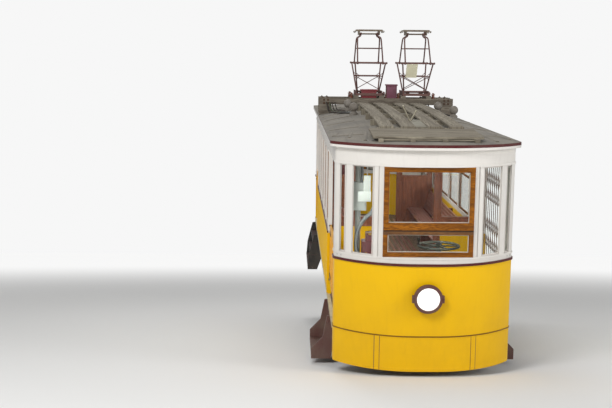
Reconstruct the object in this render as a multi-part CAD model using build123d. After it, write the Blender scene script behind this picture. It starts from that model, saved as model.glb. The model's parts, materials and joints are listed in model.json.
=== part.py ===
from build123d import *
import os
from math import asin, atan, cos, degrees, radians, sin, sqrt, tan

# Street funicular car: a level cabin on a wedge frame, two axles on a sloping street track.
# The rail plane is Z = 0, X is across the track, Y is along it and rises with the cabin's far end.
# The cabin is drawn level in its own frame (z = 0 at the floor line), then leaned by the slope.

# Driving dimensions of the track and the running gear
street_slope = 0.18
gauge = 900
wheelbase = 3500
tread_radius = 290
flange_height = 28
axle_box_rise = 110
leaf_count = 4
leaf_thickness = 12
shackle_room = 14
truck_depth = 110
truck_overhang = 400
wedge_thin_end = 15

# Driving dimensions of the cabin's plan
half_width = 1000
half_corner_length = 3800
end_bow = 470
bow_angle = 50
corner_radius = 100
wall_thickness = 45
end_wall_thickness = 80

# Heights above the floor line
skirt_depth = 395
deck_thickness = 60
frame_depth = 140
belt_height = 795
belt_moulding_height = 26
belt_moulding_proud = 14
sill_height = 80
window_top = 1855
letterboard_height = 185
cornice_height = 45
cornice_overhang = 60
roof_edge_height = 14
crown_rise = 150
roof_thickness = 26

# Doorways, just behind the rounded corners
corner_wrap = 100
door_width = 1400
jamb_width = 60

# Working clearances
seat_gap = 0.3
running_gap = 8

slope_angle = degrees(atan(street_slope))
frame_low = -deck_thickness - frame_depth
axle_z = tread_radius + flange_height
truck_low = axle_z + axle_box_rise + leaf_count * leaf_thickness + shackle_room
truck_top = truck_low + truck_depth
truck_half = wheelbase / 2 + truck_overhang
frame_drop = -frame_low / cos(radians(slope_angle))
floor_height_at_middle = truck_top + wedge_thin_end + truck_half * street_slope + frame_drop
half_total_length = half_corner_length + end_bow
bow_radius = (end_bow - corner_radius * cos(radians(bow_angle))) / (1 - cos(radians(bow_angle)))
flat_half = half_width - corner_radius - (bow_radius - corner_radius) * sin(radians(bow_angle))
door_outer = half_corner_length - corner_wrap
door_inner = door_outer - door_width
saloon_half = door_inner - jamb_width
letterboard_top = window_top + letterboard_height
cornice_top = letterboard_top + cornice_height
roof_base = cornice_top + roof_edge_height

parts = {}


def box_between(x_range, y_range, z_range):
    """A block between the two ends of each range."""
    sizes = [abs(r[1] - r[0]) for r in (x_range, y_range, z_range)]
    middles = [(r[0] + r[1]) / 2 for r in (x_range, y_range, z_range)]
    return Pos(*middles) * Box(*sizes)


def upright_rod(radius, height):
    """A cylinder standing on its own base plane."""
    return Cylinder(radius, height, align=(Align.CENTER, Align.CENTER, Align.MIN))


def tube_between(start, end, radius):
    """A rod from one point to another."""
    start = Vector(*start)
    path = Vector(*end) - start
    return Plane(origin=start, z_dir=path.normalized()) * upright_rod(radius, path.length)


def join(pieces):
    """All pieces as one node: touching ones fuse, the others stay separate solids."""
    pieces = list(pieces)
    return pieces[0] + pieces[1:] if len(pieces) > 1 else pieces[0]


def lean(piece):
    """From the cabin's level frame to the track's frame."""
    return Pos(0, 0, floor_height_at_middle) * Rot(slope_angle, 0, 0) * piece


def other_end(piece):
    return mirror(piece, about=Plane.XZ)


def other_side(piece):
    return mirror(piece, about=Plane.YZ)


def both_ends(piece):
    return [piece, other_end(piece)]


def both_sides(piece):
    return [piece, other_side(piece)]


# Cabin plan: straight sides and bowed ends, as a face moved inwards by an inset.
# An inset past the corner's radius leaves a sharp corner where the bow meets the side.
def plan_face(inset):
    bow_centre_y = half_total_length - bow_radius
    corner_x = half_width - corner_radius
    corner_y = half_corner_length
    side_x = half_width - inset
    bow = bow_radius - inset
    corner = corner_radius - inset
    rounded = corner > 1
    bow_end = bow_angle if rounded else degrees(asin((side_x - flat_half) / bow))
    side_end = corner_y if rounded else bow_centre_y + bow * cos(radians(bow_end))
    edges = []
    for end in (-1, 1):
        front = end * (half_total_length - inset)
        edges.append(Line((-flat_half, front), (flat_half, front)))
        for side in (-1, 1):

            def arc(centre_x, centre_y, radius, first, last):
                points = []
                for angle in (first, (first + last) / 2, last):
                    x = centre_x + radius * sin(radians(angle))
                    y = centre_y + radius * cos(radians(angle))
                    points.append((side * x, end * y))
                return ThreePointArc(*points)

            edges.append(arc(flat_half, bow_centre_y, bow, 0, bow_end))
            if rounded:
                edges.append(arc(corner_x, corner_y, corner, bow_angle, 90))
    for side in (-1, 1):
        edges.append(Line((side * side_x, -side_end), (side * side_x, side_end)))
    return make_face(edges)


def plan_band(outer_inset, inner_inset, z_low, z_high):
    """A closed band that follows the cabin's plan, between two heights."""
    ring = plan_face(outer_inset) - plan_face(inner_inset)
    return Pos(0, 0, z_low) * extrude(ring, z_high - z_low)


def plan_slab(inset, z_low, z_high):
    return Pos(0, 0, z_low) * extrude(plan_face(inset), z_high - z_low)


reach = 2 * half_total_length
tall = 4 * letterboard_top


def end_zone(y_inner):
    """The space of the uphill end, outside a cross plane."""
    return box_between((-reach, reach), (-reach, -y_inner), (-tall, tall))


def side_zone(x_inner, y_range):
    """The space of the right-hand side, outside a lengthwise plane."""
    return box_between((x_inner, reach), y_range, (-tall, tall))


# End walls: bowed, with a wide middle window, two side lights and two narrow corner lights
middle_window = 490
window_bottom = belt_height + sill_height
end_lights = [  # inner x, outer x of each light
    (590, 815),
    (880, 945),
]


light_boxes = []
for inner_x, outer_x in end_lights:
    light = box_between((inner_x, outer_x), (-reach, -half_corner_length), (window_bottom, window_top))
    light_boxes += both_sides(light)
middle_opening = box_between(
    (-middle_window, middle_window), (-reach, -half_corner_length), (window_bottom, window_top)
)
post_groove_x = (middle_window + end_lights[0][0]) / 2
post_groove_half = 6
post_groove_depth = 12
sill_moulding = (60, 78)  # height above the belt of its lower and upper edge
moulding_proud = 8
groove_x = (post_groove_x - post_groove_half, post_groove_x + post_groove_half)
groove = plan_band(0, post_groove_depth, window_bottom, window_top)
groove &= box_between(groove_x, (-reach, -half_corner_length), (window_bottom, window_top))
end_wall = plan_band(0, end_wall_thickness, belt_height, window_top)
end_wall += plan_band(-moulding_proud, 0, belt_height + sill_moulding[0], belt_height + sill_moulding[1])
end_wall = (end_wall & end_zone(door_outer)) - ([middle_opening] + light_boxes + both_sides(groove))
parts["end_wall_uphill"] = lean(end_wall)
parts["end_wall_downhill"] = lean(other_end(end_wall))

# Wooden middle window: a flat frame with two lights, the lower one set back
sash_setback = 50
sash_depth = 45
sash_stile = 52
sash_rebate = 10
meeting_rail_low = 1119
meeting_rail_high = 1250
sash_front = -half_total_length + sash_setback
sash_back = sash_front + sash_depth
sash_light_x = (-middle_window + sash_stile, middle_window - sash_stile)
sash_light_heights = [  # bottom, top of each light
    (window_bottom + sash_stile, meeting_rail_low),
    (meeting_rail_high, window_top - sash_stile),
]
sash = box_between((-middle_window, middle_window), (sash_front, sash_back), (window_bottom, window_top))
for z_range in sash_light_heights:
    sash -= box_between(sash_light_x, (-reach, 0), z_range)
    sash -= box_between(
        (sash_light_x[0] - sash_rebate, sash_light_x[1] + sash_rebate),
        (-reach, sash_front + sash_rebate),
        (z_range[0] - sash_rebate, z_range[1] + sash_rebate),
    )
parts["end_windows"] = lean(join(both_ends(sash)))

glass_thickness = 6
glass_inset = 30
sash_glass_y = sash_front + sash_depth / 2
panes = []
for z_range in sash_light_heights:
    panes.append(box_between(sash_light_x, (sash_glass_y, sash_glass_y + glass_thickness), z_range))
curved_glass = plan_band(glass_inset, glass_inset + glass_thickness, window_bottom, window_top)
panes += [curved_glass & light for light in light_boxes]
end_panes = panes + [other_end(p) for p in panes]

# Yellow dash between floor line and belt, and the skirt below it in three plates
dash = plan_band(0, wall_thickness, 0, belt_height) & end_zone(door_outer)
parts["end_dash_uphill"] = lean(dash)
parts["end_dash_downhill"] = lean(other_end(dash))

skirt_joint_x = 540
skirt_joint_gap = 3
skirt_thickness = 30
skirt = plan_band(0, skirt_thickness, -skirt_depth, 0) & end_zone(door_outer)
skirt_joint = box_between((skirt_joint_x, skirt_joint_x + skirt_joint_gap), (-reach, 0), (-skirt_depth, 0))
skirt -= both_sides(skirt_joint)
parts["end_skirts"] = lean(join(both_ends(skirt)))

# Seam moulding at the floor line and dark belt moulding, both standing proud of the body
seam_height = 12
seam_proud = 6
seam = plan_band(-seam_proud, 0, -seam_height / 2, seam_height / 2) & end_zone(door_outer)
belt_low = belt_height - belt_moulding_height / 2
belt_band = plan_band(-belt_moulding_proud, 0, belt_low, belt_low + belt_moulding_height)
belt_ends = belt_band & end_zone(door_outer)
belt_sides = belt_band & side_zone(0, (-saloon_half, saloon_half))
mouldings = both_ends(seam) + both_ends(belt_ends) + both_sides(belt_sides)
parts["belt_mouldings"] = lean(join(mouldings))

# Saloon side walls: five windows each over a ribbed lower panel
window_count = 5
window_pitch = 2 * saloon_half / window_count
window_post = 95
side_sill = 60
side_window_z = (belt_height + side_sill, window_top - sash_stile)
side_window_corner = 70
wall_x = (half_width - wall_thickness, half_width)
pane_x = (half_width - glass_inset - glass_thickness, half_width - glass_inset)
side_wall = box_between(wall_x, (-door_inner, door_inner), (belt_height, window_top))
side_panes = []
for k in range(window_count):
    start = -saloon_half + k * window_pitch
    y_range = (start + window_post / 2, start + window_pitch - window_post / 2)
    light = box_between(wall_x, y_range, side_window_z)
    light = fillet(light.edges().filter_by(Axis.X).sort_by(Axis.Z)[-2:], side_window_corner)
    side_wall -= light
    side_panes.append(light & box_between(pane_x, y_range, side_window_z))
parts["side_wall_right"] = lean(side_wall)
parts["side_wall_left"] = lean(other_side(side_wall))
side_panes += [other_side(p) for p in side_panes]
parts["window_glass"] = lean(join(end_panes + side_panes))

rib_count = 30
rib_radius = 26
rib_proud = 12
rib_pitch = 2 * saloon_half / rib_count
rib_x = half_width + rib_proud - rib_radius
rib_low = 2 * seam_height
rib_high = belt_low - seam_height
side_panel = box_between(wall_x, (-door_inner, door_inner), (0, belt_height))
ribs = []
for k in range(rib_count):
    rib_y = -saloon_half + (k + 0.5) * rib_pitch
    bar = Pos(rib_x, rib_y, rib_low) * upright_rod(rib_radius, rib_high - rib_low)
    ribs.append(bar & side_zone(half_width - rib_proud, (-reach, reach)))
side_panel = side_panel + ribs
parts["side_panel_right"] = lean(side_panel)
parts["side_panel_left"] = lean(other_side(side_panel))

# Letterboard above the windows, cornice and roof
fascia_moulding_height = 25
letterboard = plan_band(0, wall_thickness, window_top, letterboard_top)
letterboard += plan_band(-moulding_proud, 0, window_top, window_top + fascia_moulding_height)
parts["letterboard"] = lean(letterboard)

cornice = plan_band(-cornice_overhang, wall_thickness, letterboard_top, cornice_top)
parts["cornice"] = lean(cornice)


# Roof: arched sections that narrow with the plan towards each end, above a thin edge board.
# The crown line itself is a long arc, so the roof falls gently to both ends.
roof_half_length = half_total_length + cornice_overhang
camber_radius = (roof_half_length**2 + crown_rise**2) / (2 * crown_rise)
section_steps = [0, 30, 110, 230, 380, 530, 1000, 1800, 2900, roof_half_length]


def plan_half_width(distance, inset):
    """Half the plan's width at a distance behind its front edge, for a plan moved in by an inset."""
    bow = bow_radius - inset
    corner = corner_radius - inset
    bow_depth = bow * (1 - cos(radians(bow_angle)))
    if distance <= bow_depth:
        return flat_half + sqrt(bow**2 - (bow - distance) ** 2)
    if distance < end_bow - inset:
        depth = end_bow - inset - distance
        return half_width - corner_radius + sqrt(max(corner**2 - depth**2, 0))
    return half_width - inset


def camber(y):
    """Height of the crown line above the roof's edge."""
    return sqrt(camber_radius**2 - y**2) - (camber_radius - crown_rise)


def roof_section(step, inset, drop):
    half = plan_half_width(step, -cornice_overhang) - inset
    rise = max(camber(roof_half_length - step) - drop, 1)
    base = Line((-half, roof_base), (half, roof_base))
    arch = ThreePointArc((-half, roof_base), (0, roof_base + rise), (half, roof_base))
    return make_face([base, arch])


def roof_solid(inset, drop):
    faces = []
    for step in section_steps:
        station = -roof_half_length + step + inset * (step < roof_half_length)
        faces.append(Plane.XZ.offset(-station) * roof_section(step, inset, drop))
    half_roof = loft(faces, ruled=True)
    return half_roof + other_end(half_roof)


def roof_height(x, y):
    """Height of the roof's skin above the floor line."""
    half = half_width + cornice_overhang
    rise = camber(y)
    arch_radius = (half**2 + rise**2) / (2 * rise)
    return roof_base + sqrt(arch_radius**2 - x**2) - (arch_radius - rise)


roof_outer = roof_solid(0, 0)
roof = roof_outer - roof_solid(wall_thickness + cornice_overhang, roof_thickness)
parts["roof_edge"] = lean(plan_band(-cornice_overhang, wall_thickness, cornice_top, roof_base))
parts["roof_shell"] = lean(roof)

# Walkway on the roof: four long planks on bearers, following the camber
plank_middles = [-385, -135, 175, 425]
plank_width = 165
plank_thickness = 22
plank_lift = 40
walkway_margin = 480
plank_start = -half_corner_length + walkway_margin
bridge_y = 1100
bridge_width = 560
plank_end = bridge_y - bridge_width / 2
bearer_width = 60
housing = 4
bearer_count = 6
foot_depth = 0.9  # share of the camber that a foot reaches down before it is cut to the roof


def camber_strip(x_range, y_range, low, high):
    """A strip along the roof whose underside and top follow the crown line's camber."""
    y0, y1 = y_range
    ym = (y0 + y1) / 2
    lows = [(y, roof_base + camber(y) + low) for y in (y0, ym, y1)]
    highs = [(y, roof_base + camber(y) + high) for y in (y0, ym, y1)]
    outline = make_face(
        [
            ThreePointArc(*lows),
            Line(lows[2], highs[2]),
            ThreePointArc(*reversed(highs)),
            Line(highs[0], lows[0]),
        ]
    )
    return Pos(x_range[0], 0, 0) * extrude(Plane.YZ * outline, x_range[1] - x_range[0])


planks = []
for x in plank_middles:
    planks.append(
        camber_strip(
            (x - plank_width / 2, x + plank_width / 2),
            (plank_start, plank_end),
            plank_lift,
            plank_lift + plank_thickness,
        )
    )
bearers = []
bearer_pitch = (plank_end - plank_start - bearer_width) / (bearer_count - 1)
walkway_half = plank_middles[-1] + plank_width / 2
for k in range(bearer_count):
    y = plank_start + bearer_width / 2 + k * bearer_pitch
    y_range = (y - bearer_width / 2, y + bearer_width / 2)
    foot = -foot_depth * camber(y_range[0])
    bearer = camber_strip((-walkway_half, walkway_half), y_range, foot, plank_lift + housing)
    bearers.append(bearer - roof_outer)

# Between the middle planks lies a hatch board, and a forked prop stands on its far corner
hatch_x = (plank_middles[1] + plank_width / 2, plank_middles[2] - plank_width / 2)
hatch_y = (plank_start + bearer_width, plank_start + bearer_pitch)
hatch_top = plank_lift + plank_thickness / 2
hatch = camber_strip(hatch_x, hatch_y, hatch_top - plank_thickness, hatch_top)
prop_radius = 8
prop_inset = 20
prop_setback = 140
prop_y = hatch_y[1] - prop_setback
prop_foot = (hatch_x[0] + prop_inset, prop_y, roof_base + camber(prop_y) + hatch_top - prop_radius)
prop_prongs = [  # sideways reach, height
    (-95, 193),
    (68, 136),
]
props = []
for sideways, height in prop_prongs:
    props.append(tube_between(prop_foot, (prop_foot[0] + sideways, prop_y, prop_foot[2] + height), prop_radius))
parts["roof_walkway"] = lean(join(planks + bearers + [hatch] + props))

# Front deck on the roof: cross boards on four runners, with a low rod across their toes
deck_board_count = 3
deck_board_depth = 215
deck_board_gap = 12
deck_half = 600
deck_margin = 250
deck_front = -half_corner_length - deck_margin
deck_lift = 24
runner_xs = [-520, -175, 175, 520]
runner_width = 55
runner_toe = 60
rod_radius = 9
deck_boards = []
for k in range(deck_board_count):
    y = deck_front + k * (deck_board_depth + deck_board_gap)
    y_range = (y, y + deck_board_depth)
    board = camber_strip((-deck_half, deck_half), y_range, deck_lift, deck_lift + plank_thickness)
    deck_boards.append(board)
deck_back = deck_front + deck_board_count * (deck_board_depth + deck_board_gap) - deck_board_gap
runners = []
for x in runner_xs:
    runner = camber_strip(
        (x - runner_width / 2, x + runner_width / 2),
        (deck_front - runner_toe, deck_back),
        -foot_depth * camber(deck_front - runner_toe),
        deck_lift + housing,
    )
    runners.append(runner - roof_outer)
rod_z = roof_base + camber(deck_front) + deck_lift / 2
rod = Pos(0, deck_front - runner_toe / 2, rod_z) * Rot(0, 90, 0) * Cylinder(rod_radius, 2 * runner_xs[-1])
front_deck = join(deck_boards + runners) + rod
parts["roof_front_deck"] = lean(front_deck)

# Bridge across the roof for the current collectors: two timbers on boxed legs at the roof's edge
collector_xs = [-270, 465]
base_half_width = 170
sleeve_length = 30
base_plate_x = base_half_width + sleeve_length
timber_width = 90
timber_height = 100
bridge_half = half_width + cornice_overhang - 15
bridge_low = roof_base + crown_rise + 20
bridge_top = bridge_low + timber_height
leg_width = 190
tie_width = 80
tie_height = 40
timber_ys = [bridge_y - bridge_width / 2 + timber_width / 2, bridge_y + bridge_width / 2 - timber_width / 2]
bridge_pieces = []
for y in timber_ys:
    y_range = (y - timber_width / 2, y + timber_width / 2)
    bridge_pieces.append(box_between((-bridge_half, bridge_half), y_range, (bridge_low, bridge_top)))
    for leg in both_sides(
        box_between((bridge_half - leg_width, bridge_half), y_range, (roof_base, bridge_low))
    ):
        bridge_pieces.append(leg - roof_outer)
collector_floor = bridge_top + tie_height
for collector_x in collector_xs:
    for side in (-1, 1):
        tie_x = collector_x + side * base_plate_x
        x_range = (tie_x - tie_width / 2, tie_x + tie_width / 2)
        y_range = (bridge_y - bridge_width / 2, bridge_y + bridge_width / 2)
        bridge_pieces.append(box_between(x_range, y_range, (bridge_top, collector_floor)))
parts["roof_bridge"] = lean(join(bridge_pieces))

# Ventilators: balls on waisted stems, standing on the roof's flanks
vent_radius = 64
vent_height = 105  # height of the ball's middle above the roof
vent_waist = 24
vent_skirt_radius = 58
vent_foot = 30  # depth of the foot before it is cut to the roof
vent_places = [  # x, y
    (400 - half_width, -650),
    (380 - half_width, 420),
    (half_width - 250, 400),
    (half_width - 90, -100),
]
vent_profile = [  # radius, height
    (0, -vent_foot),
    (vent_skirt_radius, -vent_foot),
    (vent_skirt_radius, vent_height / 6),
    (vent_waist, vent_height / 2),
    (vent_waist, vent_height),
    (0, vent_height),
]
vent_stem = revolve(Plane.XZ * make_face(Polyline(*vent_profile, close=True)), Axis.Z)
vent = vent_stem + Pos(0, 0, vent_height) * Sphere(vent_radius)
vents = [Pos(x, y, roof_height(x, y)) * vent - roof_outer for x, y in vent_places]
parts["roof_ventilators"] = lean(join(vents))

# Floor: deck slab, sole boards along the sides and the steel floor frame under it
parts["floor_deck"] = lean(plan_slab(skirt_thickness, -deck_thickness, 0))
sole_proud = 8
sole = plan_band(-sole_proud, skirt_thickness, -deck_thickness, 0) & side_zone(0, (-door_outer, door_outer))
parts["sole_boards"] = lean(join(both_sides(sole)))

frame_beam_width = 70
outer_sill_x = (half_width - 2 * frame_beam_width, half_width - frame_beam_width)
truck_half_width = 660
inner_sill_x = (truck_half_width - frame_beam_width, truck_half_width)
bulkhead_beam_y = saloon_half + 15
middle_beam_y = 1100
end_beam_y = door_outer - 100
cross_beam_ys = [y for pair in (bulkhead_beam_y, middle_beam_y, end_beam_y) for y in (-pair, pair)] + [0]
frame_pieces = []
for x_range in (outer_sill_x, inner_sill_x):
    sill = box_between(x_range, (-door_outer, door_outer), (frame_low, -deck_thickness))
    frame_pieces += both_sides(sill)
frame_z = (frame_low, -deck_thickness)
for y in cross_beam_ys:
    y_range = (y - frame_beam_width / 2, y + frame_beam_width / 2)
    frame_pieces.append(box_between((-outer_sill_x[1], outer_sill_x[1]), y_range, frame_z))
nose = plan_band(skirt_thickness, skirt_thickness + frame_beam_width, frame_low, -deck_thickness)
frame_pieces += both_ends(nose & end_zone(door_outer))
parts["floor_frame"] = lean(join(frame_pieces))

# Bulkheads between the platforms and the saloon, each with a doorway and two lights
bulkhead_thickness = 40
bulkhead_door_half = 340
bulkhead_door_top = 1840
bulkhead_light = ((440, 860), (1000, 1700))
bulkhead_y = (-saloon_half, -saloon_half + bulkhead_thickness)
bulkhead_half = half_width - wall_thickness
bulkhead = box_between((-bulkhead_half, bulkhead_half), bulkhead_y, (0, cornice_top))
bulkhead -= box_between((-bulkhead_door_half, bulkhead_door_half), bulkhead_y, (0, bulkhead_door_top))
for light in both_sides(box_between(bulkhead_light[0], bulkhead_y, bulkhead_light[1])):
    bulkhead -= light
parts["bulkheads"] = lean(join(both_ends(bulkhead)))

# Slatted benches along both saloon walls, on shaped end frames
bench_slat_thickness = 18
bench_slat_width = 46
bench_frame_count = 5
bench_frame_thickness = 40
bench_half = saloon_half - bulkhead_thickness - 40
bench_slats = [  # x of the slat's middle, z of its middle, tilt of the slat in degrees
    (560, 428, -12),
    (610, 440, -4),
    (662, 441, 2),
    (714, 437, 4),
    (766, 432, 4),
    (838, 470, 70),
    (857, 523, 74),
    (872, 576, 76),
    (884, 629, 78),
    (895, 682, 80),
    (904, 735, 82),
]
bench_frame_outline = [  # x, z of the frame's corners
    (620, 0),
    (bulkhead_half, 0),
    (bulkhead_half, 770),
    (908, 770),
    (838, 450),
    (766, 432),
    (662, 441),
    (610, 440),
    (548, 425),
    (556, 385),
    (640, 350),
]
bench_frame_face = Plane.XZ * make_face(Polyline(*bench_frame_outline, close=True))
bench_frame = extrude(bench_frame_face, bench_frame_thickness / 2, both=True)
bench_pieces = []
bench_frame_pitch = 2 * (bench_half - bench_frame_thickness) / (bench_frame_count - 1)
for k in range(bench_frame_count):
    y = -bench_half + bench_frame_thickness + k * bench_frame_pitch
    bench_pieces.append(Pos(0, y, 0) * bench_frame)
for x, z, tilt in bench_slats:
    slat = Box(bench_slat_width, 2 * bench_half, bench_slat_thickness)
    bench_pieces.append(Pos(x, 0, z) * Rot(0, -tilt, 0) * slat)
bench = join(bench_pieces)
parts["benches"] = lean(join(both_sides(bench)))

# Headlamps: a lugged ring on each dash, with a domed glass
lamp_height = 440
lamp_ring_radius = 158
lamp_glass_radius = 130
lamp_depth = 100
lamp_rim = 16
lamp_lug = 40
lamp_back = 60
ring_low = lamp_depth - 3 * lamp_rim
glass_seat = lamp_depth - 1.5 * lamp_rim
bell = [  # radius, distance in front of the dash
    (0, -lamp_back),
    (lamp_glass_radius, -lamp_back),
    (lamp_glass_radius, ring_low - lamp_rim),
    (lamp_ring_radius, ring_low),
    (lamp_ring_radius, lamp_depth - lamp_rim / 2),
    (lamp_ring_radius - lamp_rim / 2, lamp_depth),
    (lamp_glass_radius, lamp_depth),
    (lamp_glass_radius, glass_seat),
    (0, glass_seat),
]
lamp_bell = revolve(Plane.XZ * make_face(Polyline(*bell, close=True)), Axis.Z)
lug_x = (lamp_ring_radius - lamp_rim, lamp_ring_radius + lamp_rim)
lugs = both_sides(box_between(lug_x, (-lamp_lug, lamp_lug), (ring_low, lamp_depth - lamp_rim / 2)))
lamp_dome_rise = 34
dome_seat = lamp_depth - lamp_rim / 2
dome_radius = (lamp_glass_radius**2 + lamp_dome_rise**2) / (2 * lamp_dome_rise)
lamp_dome = Pos(0, 0, dome_seat + lamp_dome_rise - dome_radius) * Sphere(dome_radius)
lamp_well = Pos(0, 0, glass_seat) * upright_rod(lamp_glass_radius, 4 * lamp_dome_rise)
lamp_dome = lamp_dome & lamp_well
lamp_place = Pos(0, -half_total_length, lamp_height) * Rot(90, 0, 0)
cabin_core = plan_slab(0, 0, belt_height)
lamp = lamp_place * join([lamp_bell] + lugs) - cabin_core
parts["headlamps"] = lean(join(both_ends(lamp)))
parts["headlamp_glass"] = lean(join(both_ends(lamp_place * lamp_dome)))

# Platform gear at each end: brake stand with a level handwheel, controller and a roof post
stand_x = 170
stand_y = -half_corner_length - 40
stand_radius = 48
wheel_height = 930
handwheel_radius = 225
handwheel_tube = 15
handwheel_hub = 40
spoke_radius = 10
spoke_count = 5
stand_foot = 25
column_height = wheel_height - 1.5 * handwheel_hub
stand_seat = (Align.CENTER, Align.CENTER, Align.MIN)
column = Cone(1.3 * stand_radius, 0.7 * stand_radius, column_height, align=stand_seat)
ring_section = Pos(handwheel_radius, 0) * RegularPolygon(handwheel_tube, 8)
stand = [
    upright_rod(2.2 * stand_radius, stand_foot),
    column,
    upright_rod(0.35 * stand_radius, wheel_height + handwheel_hub / 2),
    Pos(0, 0, wheel_height) * Cylinder(0.75 * stand_radius, handwheel_hub),
    Pos(0, 0, wheel_height) * revolve(Plane.XZ * ring_section, Axis.Z),
]
for k in range(spoke_count):
    spoke = Pos(handwheel_radius / 2, 0, 0) * Rot(0, 90, 0) * Cylinder(spoke_radius, handwheel_radius)
    stand.append(Pos(0, 0, wheel_height) * Rot(0, 0, 360 * k / spoke_count) * spoke)
brake_stand = Pos(stand_x, stand_y, 0) * join(stand)
parts["brake_stands"] = lean(join(both_ends(brake_stand)))

controller_wall_gap = 300
controller_width = 270
controller_x = (-half_width + controller_wall_gap, -half_width + controller_wall_gap + controller_width)
controller_y = (-half_corner_length - 225, -half_corner_length - 5)
controller_height = 1000
controller_corner = 60
crown_margin = 45
crown_height = 90
handle_reach = 150
handle_width = 30
handle_height = 25
controller = box_between(controller_x, controller_y, (0, controller_height))
controller = fillet(controller.edges().filter_by(Axis.Z), controller_corner)
handle_low = controller_height + crown_height
crown = box_between(
    (controller_x[0] + crown_margin, controller_x[1] - crown_margin),
    (controller_y[0] + crown_margin, controller_y[1] - crown_margin),
    (controller_height, handle_low),
)
handle_y = sum(controller_y) / 2
handle_x = sum(controller_x) / 2
handle = box_between(
    (handle_x - handle_width / 2, handle_x + handle_reach),
    (handle_y - handle_width / 2, handle_y + handle_width / 2),
    (handle_low, handle_low + handle_height),
)
parts["controllers"] = lean(join(both_ends(join([controller, crown, handle]))))

post_wall_gap = 260
post_x = -half_width + post_wall_gap
post_y = -half_corner_length - 30
post_radius = 32
switch_box = ((post_x - 90, post_x + 90), (post_y - 60, post_y + 60), (1330, 1640))
post = Pos(post_x, post_y, 0) * upright_rod(post_radius, roof_base + crown_rise)
roof_room = roof_solid(wall_thickness + cornice_overhang, roof_thickness)
post = (post & (roof_room + plan_slab(wall_thickness, 0, roof_base))) + box_between(*switch_box)
parts["platform_posts"] = lean(join(both_ends(post)))

# Boarding steps at the uphill doorways: a low tread hung between two shaped boards
step_out = 225
step_tread_top = -560
step_tread = 38
step_length = 850
step_y = (-door_inner - step_length, -door_inner)
step_board = 32
step_back = 10
riser_thickness = 25
riser_top = -290
hanger_top = -deck_thickness
hanger_outline = [  # x, z of the hanger's corners
    (outer_sill_x[1], hanger_top),
    (half_width + 40, hanger_top - 10),
    (half_width + 90, -330),
    (half_width + step_out, -470),
    (half_width + step_out, step_tread_top - step_tread),
    (half_width - step_back, step_tread_top - step_tread),
    (outer_sill_x[1], frame_low),
]
hanger_face = Plane.XZ * make_face(Polyline(*hanger_outline, close=True))
step_pieces = []
for y in (step_y[0] + step_board, step_y[1]):
    step_pieces.append(Pos(0, y, 0) * extrude(hanger_face, step_board) - sole)
tread_x = (half_width - step_back, half_width + step_out)
step_pieces.append(box_between(tread_x, step_y, (step_tread_top - step_tread, step_tread_top)))
riser_x = (half_width - step_back, half_width + riser_thickness - step_back)
step_pieces.append(box_between(riser_x, step_y, (step_tread_top, riser_top)))
uphill_step = join(step_pieces)
parts["steps_uphill"] = lean(join(both_sides(uphill_step)))

# Downhill steps: three treads between side boards, down from the raised platform
stair_margin = 30
stair_y = (door_inner + stair_margin, door_outer - stair_margin)
stair_treads = [  # x of the inner edge, x of the outer edge, z of the top
    (half_width - 65, half_width + 85, -215),
    (half_width - 15, half_width + 125, -430),
    (half_width + 20, half_width + 170, -645),
]
stair_board = 28
stair_outline = [  # x, z of the side board's corners
    (outer_sill_x[1], -deck_thickness),
    (half_width + 60, -deck_thickness - 15),
    (half_width + 150, -430),
    (half_width + 170, -690),
    (half_width + 5, -690),
    (outer_sill_x[1], -480),
]
stair_face = Plane.XZ * make_face(Polyline(*stair_outline, close=True))
stair_pieces = []
for y in (stair_y[0] + stair_board, stair_y[1]):
    stair_pieces.append(Pos(0, y, 0) * extrude(stair_face, stair_board) - sole)
for inner, outer, top in stair_treads:
    stair_pieces.append(box_between((inner, outer), stair_y, (top - step_tread, top)))
stair = join(stair_pieces)
parts["steps_downhill"] = lean(join(both_sides(stair)))

# Half gates in the left doorways, each hinged on a pin at the saloon's corner post
gate_low = 200
gate_high = 880
gate_thickness = 30
gate_pin_radius = 9
gate_pin_fit = 0.08
hinge_reach = 44
hinge_height = 14
hinge_x = -half_width + wall_thickness / 2 + 8
hinge_y = -door_inner - hinge_reach / 2 - 3
gate_front_y = -door_outer + running_gap
gate_stile = 40
gate_panel_inset = 8
gate_x = (hinge_x - gate_thickness / 2, hinge_x + gate_thickness / 2)
gate = box_between(gate_x, (gate_front_y, hinge_y + 12), (gate_low, gate_high))
for x in (gate_x[0], gate_x[1] - gate_panel_inset):
    gate -= box_between(
        (x, x + gate_panel_inset),
        (gate_front_y + gate_stile, hinge_y - gate_stile),
        (gate_low + gate_stile, gate_high - gate_stile),
    )
pin_reach = hinge_height + 6
gate_pin = Pos(hinge_x, hinge_y, (gate_low + gate_high) / 2) * Cylinder(
    gate_pin_radius, gate_high - gate_low + 2 * pin_reach
)
gate = gate + gate_pin
hinge_eyes = []
eye_x = (hinge_x - hinge_reach / 2, hinge_x + hinge_reach / 2)
for z in (gate_low - hinge_height - 2, gate_high + 2):
    eye = box_between(eye_x, (hinge_y - hinge_reach / 2, -door_inner), (z, z + hinge_height))
    eye -= Pos(hinge_x, hinge_y, z) * Cylinder(gate_pin_radius + gate_pin_fit, 4 * hinge_height)
    hinge_eyes.append(eye)
parts["gate_left_uphill"] = lean(gate)
parts["gate_left_downhill"] = lean(other_end(gate))

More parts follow.
